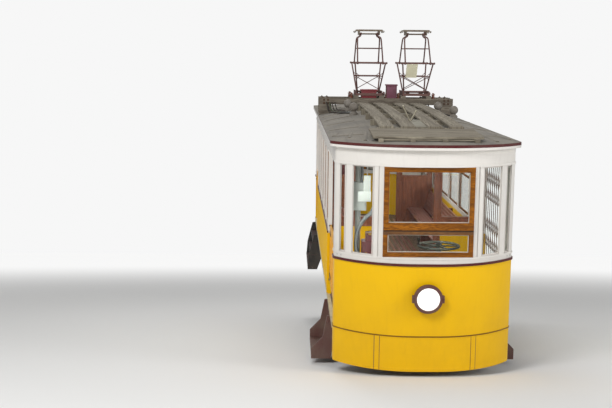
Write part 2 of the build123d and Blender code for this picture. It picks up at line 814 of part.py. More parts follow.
# Folding lattice gates in the right doorways: a leading stile on an overhead rail, a fixed jamb
# bar, and between them pickets held by three rows of crossing straps
lattice_x = half_width - wall_thickness / 2
rail_size = 24
picket_width = 16
picket_depth = 8
picket_count = 13
strap_thickness = 4
strap_width = 14
lattice_low = 40
stile_size = 34
cheek = 5
rail_slack = 0.5
lattice_high = window_top - rail_size - 2 * cheek
stile_y = -door_outer + running_gap + stile_size / 2
stile_face = stile_y + stile_size / 2
lattice_start = stile_face + seat_gap + picket_width / 2
lattice_end = -door_inner - seat_gap - picket_width / 2
lattice_pitch = (lattice_end - lattice_start) / (picket_count - 1)
strap_rows = [320, 900, 1480]  # height of each row's middle
strap_rise = 420
rail_x = (lattice_x - rail_size / 2, lattice_x + rail_size / 2)
rail = box_between(rail_x, (-door_outer, -door_inner), (window_top - rail_size, window_top))
fittings = hinge_eyes + [rail]
parts["gate_fittings"] = lean(join(fittings + [other_end(f) for f in fittings]))

stile_x = (lattice_x - stile_size / 2, lattice_x + stile_size / 2)
stile_y_range = (stile_y - stile_size / 2, stile_y + stile_size / 2)
stile = box_between(stile_x, stile_y_range, (lattice_low, lattice_high))
for x in (rail_x[0] - cheek - rail_slack, rail_x[1] + rail_slack):
    stile += box_between((x, x + cheek), stile_y_range, (lattice_high - stile_size, window_top - 2))
grip_height = 1000
grip_length = 160
grip_radius = 9
grip_reach = 30
grip_x = stile_x[0] - grip_reach
stile += Pos(grip_x, stile_y, grip_height) * Cylinder(grip_radius, grip_length)
for z in (grip_height - grip_length / 2 + grip_radius, grip_height + grip_length / 2 - grip_radius):
    grip_y_range = (stile_y - grip_radius, stile_y + grip_radius)
    stile += box_between((grip_x, stile_x[0]), grip_y_range, (z - grip_radius, z + grip_radius))
parts["gate_stile_right_uphill"] = lean(stile)
parts["gate_stile_right_downhill"] = lean(other_end(stile))

lattice_pieces = []
strap_run = 2 * lattice_pitch - strap_width
strap_length = sqrt(strap_run**2 + strap_rise**2)
strap_tilt = degrees(atan(strap_run / strap_rise))
for k in range(picket_count):
    y = lattice_start + k * lattice_pitch
    lattice_pieces.append(
        box_between(
            (lattice_x - picket_depth / 2, lattice_x + picket_depth / 2),
            (y - picket_width / 2, y + picket_width / 2),
            (lattice_low, lattice_high),
        )
    )
    if k in (0, picket_count - 1):
        continue
    for row in strap_rows:
        for side, turn in ((-1, strap_tilt), (1, -strap_tilt)):
            x = lattice_x + side * (picket_depth / 2 + strap_thickness / 2)
            strap = Box(strap_thickness, strap_width, strap_length)
            lattice_pieces.append(Pos(x, y, row) * Rot(turn, 0, 0) * strap)
lattice = join(lattice_pieces)
parts["lattice_right_uphill"] = lean(lattice)
parts["lattice_right_downhill"] = lean(other_end(lattice))

# Current collectors: two diamonds of tube side by side on the bridge, each with a twin-bar head
arm_length = 560
rest_angle = 53.5
pivot_height = 55
pivot_half_gap = 80
knee_half_width = 235
upper_knee_half_width = 195
head_pivot_half_width = 130
head_half_width = 205
arm_tube = 11
knee_tube = 12
base_pin = 14
head_pin = 10
sleeve_wall = 8
pin_fit = 0.08
pivot_z = collector_floor + pivot_height
knee_y = -pivot_half_gap - arm_length * cos(radians(rest_angle))
knee_z = pivot_z + arm_length * sin(radians(rest_angle))
head_z = knee_z + arm_length * sin(radians(rest_angle))


def cross_tube(radius, half, y, z, hole=0):
    tube = Pos(0, y, z) * Rot(0, 90, 0) * Cylinder(radius, 2 * half)
    if hole:
        tube -= Pos(0, y, z) * Rot(0, 90, 0) * Cylinder(hole, 2 * half)
    return tube


def sleeve(x, y, z, pin):
    outer = Pos(x, y, z) * Rot(0, 90, 0) * Cylinder(pin + sleeve_wall, sleeve_length)
    return outer - Pos(x, y, z) * Rot(0, 90, 0) * Cylinder(pin + pin_fit, 2 * sleeve_length)


def collector_arm(low, high, low_pin, high_pin, brace_at):
    """A tapered frame: two tubes from a low pivot to a high one, with a cross brace."""
    (low_x, low_y, low_z), (high_x, high_y, high_z) = low, high
    pieces = []
    for side in (-1, 1):
        start = Vector(side * low_x, low_y, low_z)
        end = Vector(side * high_x, high_y, high_z)
        tube = tube_between(start, end, arm_tube)
        if low_pin:
            pieces.append(sleeve(side * low_x, low_y, low_z, low_pin))
            tube -= Pos(start) * Rot(0, 90, 0) * Cylinder(low_pin + sleeve_wall / 2, 3 * sleeve_length)
        if high_pin:
            pieces.append(sleeve(side * high_x, high_y, high_z, high_pin))
            tube -= Pos(end) * Rot(0, 90, 0) * Cylinder(high_pin + sleeve_wall / 2, 3 * sleeve_length)
        pieces.append(tube)
    brace_y = low_y + (high_y - low_y) * brace_at
    brace_z = low_z + (high_z - low_z) * brace_at
    brace_half = low_x + (high_x - low_x) * brace_at
    pieces.append(cross_tube(0.7 * arm_tube, brace_half, brace_y, brace_z))
    return pieces


base_point = (base_half_width, -pivot_half_gap, pivot_z)
knee_point = (knee_half_width, knee_y, knee_z)
upper_knee_point = (upper_knee_half_width, knee_y, knee_z)
head_point = (head_pivot_half_width, -pivot_half_gap, head_z)
lower_arm = collector_arm(base_point, knee_point, base_pin, 0, 0.55)
lower_arm = join(lower_arm + [cross_tube(knee_tube, knee_half_width + knee_tube, knee_y, knee_z)])
upper_arm = join(collector_arm(upper_knee_point, head_point, knee_tube, head_pin, 0.5))

shoe_width = 34
shoe_height = 22
shoe_lift = 42
shoe_spread = 1.6  # shoe's distance from the middle over its pivot's
horn_run = 14
horn_drop = 8
horn_radius = 7
horn_knob = 14
head_plate = 10
head_plate_drop = 18
head_pieces = []
for y in (-pivot_half_gap, pivot_half_gap):
    head_pieces.append(cross_tube(head_pin, head_pivot_half_width + sleeve_length, y, head_z))
    shoe_y = shoe_spread * y
    head_pieces.append(
        box_between(
            (-head_half_width, head_half_width),
            (shoe_y - shoe_width / 2, shoe_y + shoe_width / 2),
            (head_z + shoe_lift, head_z + shoe_lift + shoe_height),
        )
    )
    for side in (-1, 1):
        horn_top = (side * (head_half_width - horn_radius), shoe_y, head_z + shoe_lift + shoe_height / 2)
        horn_end = (side * (head_half_width + horn_run), shoe_y, head_z + shoe_lift - horn_drop)
        head_pieces.append(tube_between(horn_top, horn_end, horn_radius))
        head_pieces.append(Pos(*horn_end) * Sphere(horn_knob))
plate_half = shoe_spread * pivot_half_gap + shoe_width / 2
for side in (-1, 1):
    plate_x = side * (head_pivot_half_width + sleeve_length)
    head_pieces.append(
        box_between(
            (plate_x - head_plate / 2, plate_x + head_plate / 2),
            (-plate_half, plate_half),
            (head_z - head_plate_drop, head_z + shoe_lift),
        )
    )
collector_head = join(head_pieces)

base_plate = 12
base_plate_top = pivot_z + base_pin + base_plate / 2
front_bar_height = 40
base_pieces = []
for y in (-pivot_half_gap, pivot_half_gap):
    base_pieces.append(cross_tube(base_pin, base_plate_x, y, pivot_z))
for side in (-1, 1):
    plate_x = side * base_plate_x
    base_pieces.append(
        box_between(
            (plate_x - base_plate / 2, plate_x + base_plate / 2),
            (-bridge_width / 2, bridge_width / 2),
            (collector_floor, base_plate_top),
        )
    )
base_pieces.append(
    box_between(
        (-base_plate_x, base_plate_x),
        (-bridge_width / 2, -bridge_width / 2 + base_plate),
        (collector_floor, collector_floor + front_bar_height),
    )
)
collector_base = join(base_pieces)

# Switchgear on the bridge: a low box within the left collector's base, a tall one between the bases
switch_half = 120
switch_depth = 125
switch_height = 90
switch_front = bridge_y - bridge_width / 2 + base_plate + running_gap
switch_low_box = box_between(
    (collector_xs[0] - switch_half, collector_xs[0] + switch_half),
    (switch_front, switch_front + switch_depth),
    (bridge_top, collector_floor + switch_height),
)
arrester_x = (0, 165)
arrester_height = 210
arrester = box_between(
    arrester_x,
    (bridge_y - bridge_width / 2, switch_front + switch_depth),
    (bridge_top, bridge_top + arrester_height),
)
arrester = fillet(arrester.edges().filter_by(Axis.Z), 2 * running_gap)

collector_names = ["left", "right"]
bases = [switch_low_box, arrester]
for x, side_name in zip(collector_xs, collector_names):
    place = Pos(x, bridge_y, 0)
    bases.append(place * collector_base)
    parts[f"collector_{side_name}_lower_uphill"] = lean(place * lower_arm)
    parts[f"collector_{side_name}_lower_downhill"] = lean(place * other_end(lower_arm))
    parts[f"collector_{side_name}_upper_uphill"] = lean(place * upper_arm)
    parts[f"collector_{side_name}_upper_downhill"] = lean(place * other_end(upper_arm))
    parts[f"collector_{side_name}_head"] = lean(place * collector_head)
parts["collector_bases"] = lean(join(bases))

# Wheelsets: two flanged wheels on an axle, with journals outside the wheels
flange_width = 32
tread_width = 95
rim_depth = 50
web_thickness = 26
hub_radius = 110
hub_length = 150
axle_radius = 62
journal_radius = 50
journal_end = truck_half_width + 30
flange_gap = 12
web_hole_count = 6
web_hole_radius = 36
wheel_radius = tread_radius + flange_height
flange_back = gauge / 2 - flange_gap - flange_width
wheel_face = flange_back + flange_width + tread_width
web_middle = (flange_back + wheel_face) / 2
wheel_profile = [  # x across the track, radius
    (flange_back, tread_radius - rim_depth),
    (flange_back, wheel_radius - 8),
    (flange_back + 10, wheel_radius),
    (flange_back + flange_width - 10, wheel_radius - 4),
    (flange_back + flange_width, tread_radius + 3),
    (wheel_face, tread_radius - 3),
    (wheel_face, tread_radius - rim_depth),
    (web_middle + web_thickness / 2, tread_radius - rim_depth - 14),
    (web_middle + web_thickness / 2, hub_radius + 14),
    (web_middle + hub_length / 2, hub_radius),
    (web_middle + hub_length / 2, 0),
    (web_middle - hub_length / 2, 0),
    (web_middle - hub_length / 2, hub_radius),
    (web_middle - web_thickness / 2, hub_radius + 14),
    (web_middle - web_thickness / 2, tread_radius - rim_depth - 14),
]
wheel = revolve(Plane.XY * make_face(Polyline(*wheel_profile, close=True)), Axis.X)
hole_ring = (hub_radius + tread_radius - rim_depth) / 2
for k in range(web_hole_count):
    hole = Rot(360 * k / web_hole_count, 0, 0) * Pos(web_middle, 0, hole_ring) * Rot(0, 90, 0)
    wheel -= hole * Cylinder(web_hole_radius, 3 * web_thickness)
axle = Rot(0, 90, 0) * Cylinder(axle_radius, 2 * (web_middle + hub_length / 2))
journals = Rot(0, 90, 0) * Cylinder(journal_radius, 2 * journal_end)
wheelset = join(both_sides(wheel) + [axle, journals])
parts["wheelset_uphill"] = Pos(0, -wheelbase / 2, axle_z) * wheelset
parts["wheelset_downhill"] = Pos(0, wheelbase / 2, axle_z) * wheelset

# Truck: side channels above the axle boxes, cross beams and guides for the boxes
channel_flange = 16
channel_web = 22
truck_x = inner_sill_x
box_half = 85
guide_thickness = 28
guide_low = axle_z - 103
journal_fit = 0.08
axle_box_x = (truck_x[0] - 2, journal_end + 30)
axle_box_z = (axle_z - 100, axle_z + axle_box_rise)
axle_box_chamfer = 26
cap_radius = 68
cap_depth = 14
leaf_width = 36
leaf_slack = 4
leaf_half = 300
leaf_step = 60
shackle_half = 20
spring_x = sum(truck_x) / 2
guide_cheeks = [
    (truck_x[0], spring_x - leaf_width / 2 - leaf_slack),
    (spring_x + leaf_width / 2 + leaf_slack, truck_x[1]),
]
truck_beam_width = 90
inner_beam_setback = 670
inner_beam_y = wheelbase / 2 - inner_beam_setback
end_beam_middle = truck_half - truck_beam_width / 2
truck_beam_ys = [-end_beam_middle, -inner_beam_y, inner_beam_y, end_beam_middle]
side_channel = box_between(truck_x, (-truck_half, truck_half), (truck_low, truck_top))
side_channel -= box_between(
    (truck_x[0] + channel_web, truck_x[1]),
    (-truck_half, truck_half),
    (truck_low + channel_flange, truck_top - channel_flange),
)
truck_pieces = both_sides(side_channel)
for y in truck_beam_ys:
    y_range = (y - truck_beam_width / 2, y + truck_beam_width / 2)
    truck_pieces.append(box_between((-truck_x[0], truck_x[0]), y_range, (truck_low, truck_top)))
for axle_y in (-wheelbase / 2, wheelbase / 2):
    for side in (-1, 1):
        inner_y = axle_y + side * (box_half + seat_gap)
        y_range = (inner_y, inner_y + side * guide_thickness)
        for x_range in guide_cheeks:
            truck_pieces += both_sides(box_between(x_range, y_range, (guide_low, truck_low)))
parts["truck_frame"] = join(truck_pieces)

axle_boxes = []
for axle_y in (-wheelbase / 2, wheelbase / 2):
    block = box_between(axle_box_x, (axle_y - box_half, axle_y + box_half), axle_box_z)
    block = chamfer(block.edges().filter_by(Axis.Y).sort_by(Axis.X)[-2:], axle_box_chamfer)
    bearing_depth = journal_end + 2 - axle_box_x[0]
    bearing = Rot(0, 90, 0) * upright_rod(journal_radius + journal_fit, bearing_depth)
    block -= Pos(axle_box_x[0], axle_y, axle_z) * bearing
    cap = Pos(axle_box_x[1], axle_y, axle_z) * Rot(0, 90, 0) * upright_rod(cap_radius, cap_depth)
    axle_boxes += both_sides(block + cap)
parts["axle_boxes"] = join(axle_boxes)

springs = []
for axle_y in (-wheelbase / 2, wheelbase / 2):
    leaf_z = axle_box_z[1]
    for k in range(leaf_count):
        half = leaf_half - leaf_step * (leaf_count - 1 - k)
        z_range = (leaf_z + k * leaf_thickness, leaf_z + (k + 1) * leaf_thickness)
        x_range = (spring_x - leaf_width / 2, spring_x + leaf_width / 2)
        springs.append(box_between(x_range, (axle_y - half, axle_y + half), z_range))
    top = leaf_z + leaf_count * leaf_thickness
    shackle_x = (spring_x - shackle_half, spring_x + shackle_half)
    for y in (axle_y - leaf_half + shackle_half, axle_y + leaf_half - shackle_half):
        springs.append(box_between(shackle_x, (y - shackle_half, y + shackle_half), (top, truck_low)))
spring_side = join(springs)
parts["leaf_springs"] = join(both_sides(spring_side))

# Wedge frame: uprights, braces and rakers that carry the level floor frame on the sloping truck
below_floor = lean(box_between((-reach, reach), (-reach, reach), (-tall, frame_low)))
upright_width = 80
upright_end_margin = 70
upright_pitch = 800
first_upright = -1300
inner_uprights = [first_upright + k * upright_pitch for k in range(4)]
upright_ys = [-truck_half + upright_end_margin] + inner_uprights + [truck_half - upright_end_margin]
brace_width = 60
tie_drop = 170
tie_depth = 80
raker_foot_y = truck_half - upright_end_margin / 2
raker_head_y = door_outer - 250


def floor_frame_height(y):
    """Height of the floor frame's underside above the rail plane."""
    return floor_height_at_middle + y * street_slope + frame_low / cos(radians(slope_angle))


def yz_strip(x_range, start, end, width):
    """A flat bar in a lengthwise upright plane, from one (y, z) point to another."""
    (y0, z0), (y1, z1) = start, end
    length = sqrt((y1 - y0) ** 2 + (z1 - z0) ** 2)
    angle = degrees(atan((z1 - z0) / (y1 - y0)))
    bar = Box(x_range[1] - x_range[0], length + 4 * width, width)
    return Pos(sum(x_range) / 2, (y0 + y1) / 2, (z0 + z1) / 2) * Rot(angle, 0, 0) * bar


above_truck = box_between((-reach, reach), (-reach, reach), (truck_top, 2 * tall))
wedge_side = []
for y in upright_ys:
    upright = box_between(truck_x, (y - upright_width / 2, y + upright_width / 2), (truck_top, 2 * tall))
    wedge_side.append(upright & below_floor)
brace_x = (truck_x[0] + 15, truck_x[1] - 15)
for low_y, high_y in zip(upright_ys[2:], upright_ys[3:]):
    strip = yz_strip(brace_x, (low_y, truck_top), (high_y, floor_frame_height(high_y)), brace_width)
    bay = box_between((-reach, reach), (low_y, high_y), (truck_top, 2 * tall))
    wedge_side.append(strip & bay & below_floor)
raker = yz_strip(
    truck_x, (raker_foot_y, truck_top), (raker_head_y, floor_frame_height(raker_head_y)), upright_width
)
wedge_side.append(raker & above_truck & below_floor)
wedge_side = join(wedge_side)
wedge_ties = []
for y in upright_ys[3:]:
    tie_z = floor_frame_height(y) - tie_drop
    y_range = (y - brace_width / 2, y + brace_width / 2)
    wedge_ties.append(box_between((-truck_x[0], truck_x[0]), y_range, (tie_z, tie_z + tie_depth)))
parts["wedge_frame"] = join(both_sides(wedge_side) + wedge_ties)

# Brake gear: shoes on cross beams outside the wheels, hung from the truck's channels
shoe_gap = 6
shoe_depth = 45
shoe_bite = 60
shoe_half_height = 110
brake_beam_radius = 24
brake_beam_gap = 12
strap_half = 22
shoe_x = (flange_back + flange_width + 14, wheel_face - shoe_gap)
shoe_y_range = (tread_radius - shoe_bite, tread_radius + shoe_gap + shoe_depth)
shoe_block = box_between(shoe_x, shoe_y_range, (-shoe_half_height, shoe_half_height))
shoe_block -= Rot(0, 90, 0) * Cylinder(tread_radius + shoe_gap, 4 * gauge)
beam_y = wheel_radius + brake_beam_radius + brake_beam_gap
hanger_x = (truck_x[0] + 10, truck_x[0] + 30)
brake_level = both_sides(shoe_block)
brake_level.append(Pos(0, beam_y, 0) * Rot(0, 90, 0) * Cylinder(brake_beam_radius, 2 * hanger_x[1]))
brake_strap = box_between(hanger_x, (beam_y - strap_half, beam_y + strap_half), (0, truck_low - axle_z))
brake_level += both_sides(brake_strap)
brake_set = Pos(0, wheelbase / 2, axle_z) * join(brake_level)
parts["brake_gear"] = join(both_ends(brake_set))

# Traction motors: one plain casing beside each axle, hung by a nose from the truck's cross beam
motor_radius = 200
motor_half = 290
motor_z = axle_z + 12
motor_y = wheelbase / 2 - 430
nose_half = 90
motor = Pos(0, motor_y, motor_z) * Rot(0, 90, 0) * Cylinder(motor_radius, 2 * motor_half)
nose_y = (truck_beam_ys[2] - truck_beam_width / 2, motor_y)
motor = motor + box_between((-nose_half, nose_half), nose_y, (motor_z, truck_low))
parts["traction_motors"] = join(both_ends(motor))

# Haul rope anchor: a clevis under the uphill end of the truck, its pin put in from below
anchor_bore = 50
anchor_cheek = 25
anchor_gap = 60
anchor_reach = 190
anchor_half_width = 45
anchor_plate_thickness = 20
anchor_z = (truck_low + truck_top) / 2 - anchor_half_width
anchor_half_height = anchor_gap / 2 + anchor_cheek
anchor_root_y = truck_beam_ys[0] - truck_beam_width / 2
anchor_eye_y = anchor_root_y - anchor_reach + anchor_half_width
anchor_cheeks = []
for z in (anchor_z - anchor_half_height, anchor_z + anchor_gap / 2):
    z_range = (z, z + anchor_cheek)
    cheek = box_between((-anchor_half_width, anchor_half_width), (anchor_eye_y, anchor_root_y), z_range)
    cheek += Pos(0, anchor_eye_y, z) * upright_rod(anchor_half_width, anchor_cheek)
    cheek -= Pos(0, anchor_eye_y, z) * Cylinder(anchor_bore / 2, 4 * anchor_cheek)
    anchor_cheeks.append(cheek)
anchor_plate = box_between(
    (-2 * anchor_half_width, 2 * anchor_half_width),
    (anchor_root_y - anchor_plate_thickness, anchor_root_y),
    (anchor_z - anchor_half_height, anchor_z + anchor_half_height),
)
parts["rope_anchor"] = join([anchor_plate] + anchor_cheeks)

os.makedirs("parts", exist_ok=True)
for name, piece in parts.items():
    export_step(piece, f"parts/{name}.step")
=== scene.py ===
# %% [markdown]
# A street funicular car works on a steep slope. Its cabin floor is level there, so on flat ground the
# cabin leans and the wedge under it shows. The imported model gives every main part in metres, in one
# frame: X across the car, Y along it, Z up from the foot of the wheel flanges. This script dresses
# that frame: a finish for every part, then the fittings too small for the frame. The frame comes
# first, because every later piece is placed from its numbers.

import json
import math

import bmesh
import bpy
from mathutils import Matrix, Vector


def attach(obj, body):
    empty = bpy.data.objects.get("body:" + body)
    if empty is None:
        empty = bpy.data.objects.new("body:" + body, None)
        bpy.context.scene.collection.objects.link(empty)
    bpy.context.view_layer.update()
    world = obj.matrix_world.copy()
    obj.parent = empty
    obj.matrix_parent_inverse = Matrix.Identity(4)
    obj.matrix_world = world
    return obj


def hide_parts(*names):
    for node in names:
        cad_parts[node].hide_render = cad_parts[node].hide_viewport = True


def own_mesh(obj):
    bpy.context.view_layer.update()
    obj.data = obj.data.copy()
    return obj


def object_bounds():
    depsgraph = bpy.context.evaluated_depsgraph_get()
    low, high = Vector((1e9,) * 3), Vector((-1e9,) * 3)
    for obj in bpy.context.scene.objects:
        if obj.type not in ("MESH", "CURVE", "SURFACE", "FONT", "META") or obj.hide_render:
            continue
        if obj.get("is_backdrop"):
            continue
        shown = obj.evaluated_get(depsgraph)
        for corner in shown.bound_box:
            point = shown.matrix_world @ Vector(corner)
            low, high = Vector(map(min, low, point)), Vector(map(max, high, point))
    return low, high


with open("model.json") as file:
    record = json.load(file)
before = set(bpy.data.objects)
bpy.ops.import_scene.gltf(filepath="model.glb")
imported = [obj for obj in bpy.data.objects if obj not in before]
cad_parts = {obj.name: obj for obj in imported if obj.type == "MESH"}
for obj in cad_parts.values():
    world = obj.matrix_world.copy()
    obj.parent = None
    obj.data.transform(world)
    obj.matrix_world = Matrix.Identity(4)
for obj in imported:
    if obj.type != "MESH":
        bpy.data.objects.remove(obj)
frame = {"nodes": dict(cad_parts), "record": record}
frame_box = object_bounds()
nodes = frame["nodes"]

# %% [markdown]
# The cabin was drawn level and then leaned by the slope, 18 percent. Most fittings sit on the cabin,
# and they are easiest to place level: x across, y along from the middle, z up from the floor line. One
# matrix leans them with the cabin, and it is applied to the mesh at the end.

# %% The cabin's own level frame
street_slope = 0.18
lean = math.atan(street_slope)
truck_top, truck_half, floor_structure = 0.615, 2.15, 0.200
floor_height = truck_top + truck_half * street_slope + floor_structure / math.cos(lean)
cabin = Matrix.Translation((0, 0, floor_height)) @ Matrix.Rotation(lean, 4, "X")
cabin_up = (cabin.to_3x3() @ Vector((0, 0, 1))).normalized()
print("cabin leans", round(math.degrees(lean), 1), "degrees from", round(floor_height, 4))

# %% [markdown]
# The camera stands 11 m in front of the uphill end, to the left and at window height, and looks along
# the car, so that the front, the left side and the roof all show. A long lens keeps the sides almost
# parallel. It sits where the lines of the belt, the roof edge and the floor run in the same directions
# as they do in the photograph.

# %% Camera
lens = bpy.data.cameras.new("street_camera")
lens.lens = 58.5
lens.sensor_width = 36
camera = bpy.data.objects.new("street_camera", lens)
camera.location = (-1.506, -15.051, 1.568)
camera.rotation_euler = [math.radians(turn) for turn in (91.692, -0.384, -0.995)]
bpy.context.scene.collection.objects.link(camera)
bpy.context.scene.camera = camera
print("camera at", [round(v, 2) for v in camera.location])

# %% [markdown]
# Enamel shows its gloss best under big soft lamps, which a plain sky alone doesn't give. A wide key
# lamp stands in front and to the left, a weaker one fills the right, and a third lifts the roof.

# %% Lamps
def soft_lamp(name, place, target, size, power):
    """A square soft lamp that looks at a target."""
    data = bpy.data.lights.new(name, "AREA")
    data.size = size
    data.energy = power
    lamp = bpy.data.objects.new(name, data)
    lamp.location = place
    lamp.rotation_euler = (Vector(target) - Vector(place)).to_track_quat("-Z", "Y").to_euler()
    bpy.context.scene.collection.objects.link(lamp)
    return lamp


soft_lamp("key_lamp", (-7, -15, 9), (0, -3, 1.6), 5.0, 1380)
soft_lamp("fill_lamp", (10, -11, 5), (0, -2, 1.6), 5.0, 560)
soft_lamp("roof_lamp", (-2, 6, 13), (0, 0, 3), 5.0, 560)
print("three lamps")

# %% [markdown]
# The world is dim for light and gloss, and near white for the camera and through glass, by Light Path.
# It is made of shader nodes, as every finish is, so two helpers come first: one links or sets a node's
# inputs, and one makes a node and fills it.

# %% World
def fill(tree, made, pairs):
    """A node with its inputs linked to sockets or set to values, by name or number."""
    for key, value in pairs:
        if isinstance(value, bpy.types.NodeSocket):
            tree.links.new(value, made.inputs[key])
        else:
            made.inputs[key].default_value = value
    return made


def node(tree, kind, pairs=(), **settings):
    """A new node with its plain settings made and its inputs filled."""
    made = tree.nodes.new("ShaderNode" + kind)
    for key, value in settings.items():
        setattr(made, key, value)
    return fill(tree, made, pairs)


world = bpy.data.worlds.new("pale_studio")
bpy.context.scene.world = world
world.use_nodes = True
sky = world.node_tree
sky.nodes.clear()
ray = node(sky, "LightPath").outputs
seen = node(sky, "Math", [(0, ray["Is Camera Ray"]), (1, ray["Is Transmission Ray"])], operation="MAXIMUM")
lit = node(sky, "Background", [("Strength", 0.42)])
white = node(sky, "Background", [("Color", (0.93, 0.93, 0.93, 1)), ("Strength", 1.0)])
chosen = node(sky, "MixShader", [(0, seen.outputs[0]), (1, lit.outputs[0]), (2, white.outputs[0])])
node(sky, "OutputWorld", [(0, chosen.outputs[0])])
bpy.context.scene.view_settings.view_transform = "Standard"
print("a pale world")

# %% [markdown]
# The car stands on a plain pale floor at the height of its wheel flanges. A single large face does,
# and it is declared as stage, so that it doesn't count as part of the car. Far from the lamps it
# brightens by itself, so that it runs out into the pale world without a dark band. Two helpers for
# every later piece start here: one keeps a new material under its name, and one turns a bmesh into an
# object, copied to the other side or end of the cabin where both have it.

# %% Floor
finishes = {}
SIDES, ENDS = [(-1, 1, 1)], [(1, -1, 1)]
BOTH = SIDES + ENDS


def finish(name):
    """A new material, kept under its name: its node tree and its shader."""
    material = bpy.data.materials.new(name)
    material.use_nodes = True
    finishes[name] = material
    return material.node_tree, material.node_tree.nodes["Principled BSDF"]


def build(name, shape, coat, mirror=(), body="car", place=cabin, smooth=None):
    """A mesh object from a bmesh, mirrored, moved to its place and riding on a body of the frame."""
    for flip in mirror:
        copied = bmesh.ops.duplicate(shape, geom=shape.verts[:] + shape.edges[:] + shape.faces[:])["geom"]
        verts = [part for part in copied if isinstance(part, bmesh.types.BMVert)]
        bmesh.ops.scale(shape, vec=flip, verts=verts)
    bmesh.ops.recalc_face_normals(shape, faces=shape.faces)
    mesh = bpy.data.meshes.new(name)
    shape.to_mesh(mesh)
    shape.free()
    mesh.transform(place)
    if smooth is not None:
        mesh.shade_smooth()
        mesh.set_sharp_from_angle(angle=math.radians(smooth))
    mesh.materials.append(finishes[coat])
    piece = bpy.data.objects.new(name, mesh)
    bpy.context.scene.collection.objects.link(piece)
    if body is not None:
        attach(piece, body)
    return piece


tree, skin = finish("pale_floor")
far = node(tree, "VectorMath", [(0, node(tree, "TexCoord").outputs["Object"])], operation="LENGTH")
fade = node(tree, "MapRange", [(0, far.outputs["Value"]), (1, 7.0), (2, 34.0), (3, 0.0), (4, 0.66)],
            interpolation_type="SMOOTHSTEP")
fill(tree, skin, [("Base Color", (0.80, 0.80, 0.79, 1)), ("Roughness", 0.9), ("Specular IOR Level", 0.1),
                  ("Emission Color", (1, 1, 1, 1)), ("Emission Strength", fade.outputs[0])])
ground = bmesh.new()
bmesh.ops.create_grid(ground, x_segments=1, y_segments=1, size=60)
floor = build("studio_floor", ground, "pale_floor", body=None, place=Matrix())
floor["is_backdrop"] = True
print("floor laid")

# %% [markdown]
# Paint on a street car is never one flat colour. Dust gathers low down and in soft clouds, rain draws
# faint streaks down the sides, and enamel ripples a little under its gloss. Several finishes share
# these effects, so each is a node group with named sockets. Short helpers stand for the nodes that
# come back again and again: noise, a change of range, a sum or product, and a mix of two colours.

# %% Helpers for colours, groups and common nodes
def colour(r, g, b):
    """A colour read as 0-255 numbers, as linear light."""
    def light(v):
        v = v / 255
        return v / 12.92 if v <= 0.04045 else ((v + 0.055) / 1.055) ** 2.4
    return (light(r), light(g), light(b), 1)


FLOAT, COLOUR, VECTOR = "NodeSocketFloat", "NodeSocketColor", "NodeSocketVector"


def group(name, inputs, outputs):
    """An empty shader group with its named sockets: its tree, its inputs and its output node."""
    tree = bpy.data.node_groups.new(name, "ShaderNodeTree")
    for label, value in inputs:
        kind = FLOAT if isinstance(value, float) else COLOUR if len(value) == 4 else VECTOR
        tree.interface.new_socket(name=label, in_out="INPUT", socket_type=kind).default_value = value
    for label, kind in outputs:
        tree.interface.new_socket(name=label, in_out="OUTPUT", socket_type=kind)
    return tree, tree.nodes.new("NodeGroupInput").outputs, tree.nodes.new("NodeGroupOutput")


def object_place(tree):
    """A point's place in metres, as the object's own coordinates give it."""
    return node(tree, "TexCoord").outputs["Object"]


def axis(tree, letter):
    """One of the three object coordinates."""
    return node(tree, "SeparateXYZ", [(0, object_place(tree))]).outputs[letter]


def noise(tree, place, scale, detail, *more):
    """A noise over the place, as a value from 0 to 1."""
    return node(tree, "TexNoise", [("Vector", place), ("Scale", scale), ("Detail", detail), *more]).outputs[0]


def spread(tree, value, *limits):
    """A value carried over from one range, low and high, to 0 and 1 or to a second range."""
    return node(tree, "MapRange", [(0, value), *zip((1, 2, 3, 4), limits)]).outputs[0]


def reckon(tree, operation, *values, **settings):
    """What a Math node makes of its values."""
    return node(tree, "Math", enumerate(values), operation=operation, **settings).outputs[0]


def mixed(tree, share, first, second):
    """A second colour mixed into a first one."""
    return node(tree, "Mix", [(0, share), (6, first), (7, second)], data_type="RGBA").outputs[2]


def raise_relief(tree, skin, height, strength, distance):
    """A Bump node from a height to the shader's normal."""
    bump = node(tree, "Bump", [("Height", height), ("Strength", strength), ("Distance", distance)])
    tree.links.new(bump.outputs[0], skin.inputs["Normal"])


print("white reads", [round(v, 2) for v in colour(220, 216, 210)[:3]], "as linear light")

# %% [markdown]
# The dust group reads Object coordinates, where Z is the height over the floor, and mixes a dust
# colour in below a chosen height, in clouds and in thin upright streaks.

# %% Shader group: street dust and rain streaks
dust, given, outs = group("street_dust", [
    ("Colour", (0.5, 0.5, 0.5, 1)), ("Dust Colour", colour(120, 108, 92)), ("Low", 0.6), ("High", 1.4),
    ("Low Amount", 0.5), ("Cloud Amount", 0.12), ("Streak Amount", 0.15),
], [("Colour", COLOUR), ("Dusty", FLOAT)])
place = object_place(dust)
height = node(dust, "SeparateXYZ", [(0, place)]).outputs["Z"]
thin = node(dust, "Mapping", [(0, place), ("Scale", (26.0, 26.0, 0.9))]).outputs[0]
clouds = noise(dust, place, 3.2, 6.0, ("Roughness", 0.62))
low = spread(dust, height, given["Low"], given["High"], 1.0, 0.0)
low = reckon(dust, "MULTIPLY", low, given["Low Amount"])
low = reckon(dust, "MULTIPLY", low, spread(dust, clouds, 0.2, 0.7, 0.35, 1.0))
cloud = reckon(dust, "MULTIPLY", spread(dust, clouds, 0.42, 0.72), given["Cloud Amount"])
streak = spread(dust, noise(dust, thin, 1.0, 3.0), 0.52, 0.75)
streak = reckon(dust, "MULTIPLY", streak, given["Streak Amount"])
total = reckon(dust, "ADD", reckon(dust, "ADD", low, cloud), streak, use_clamp=True)
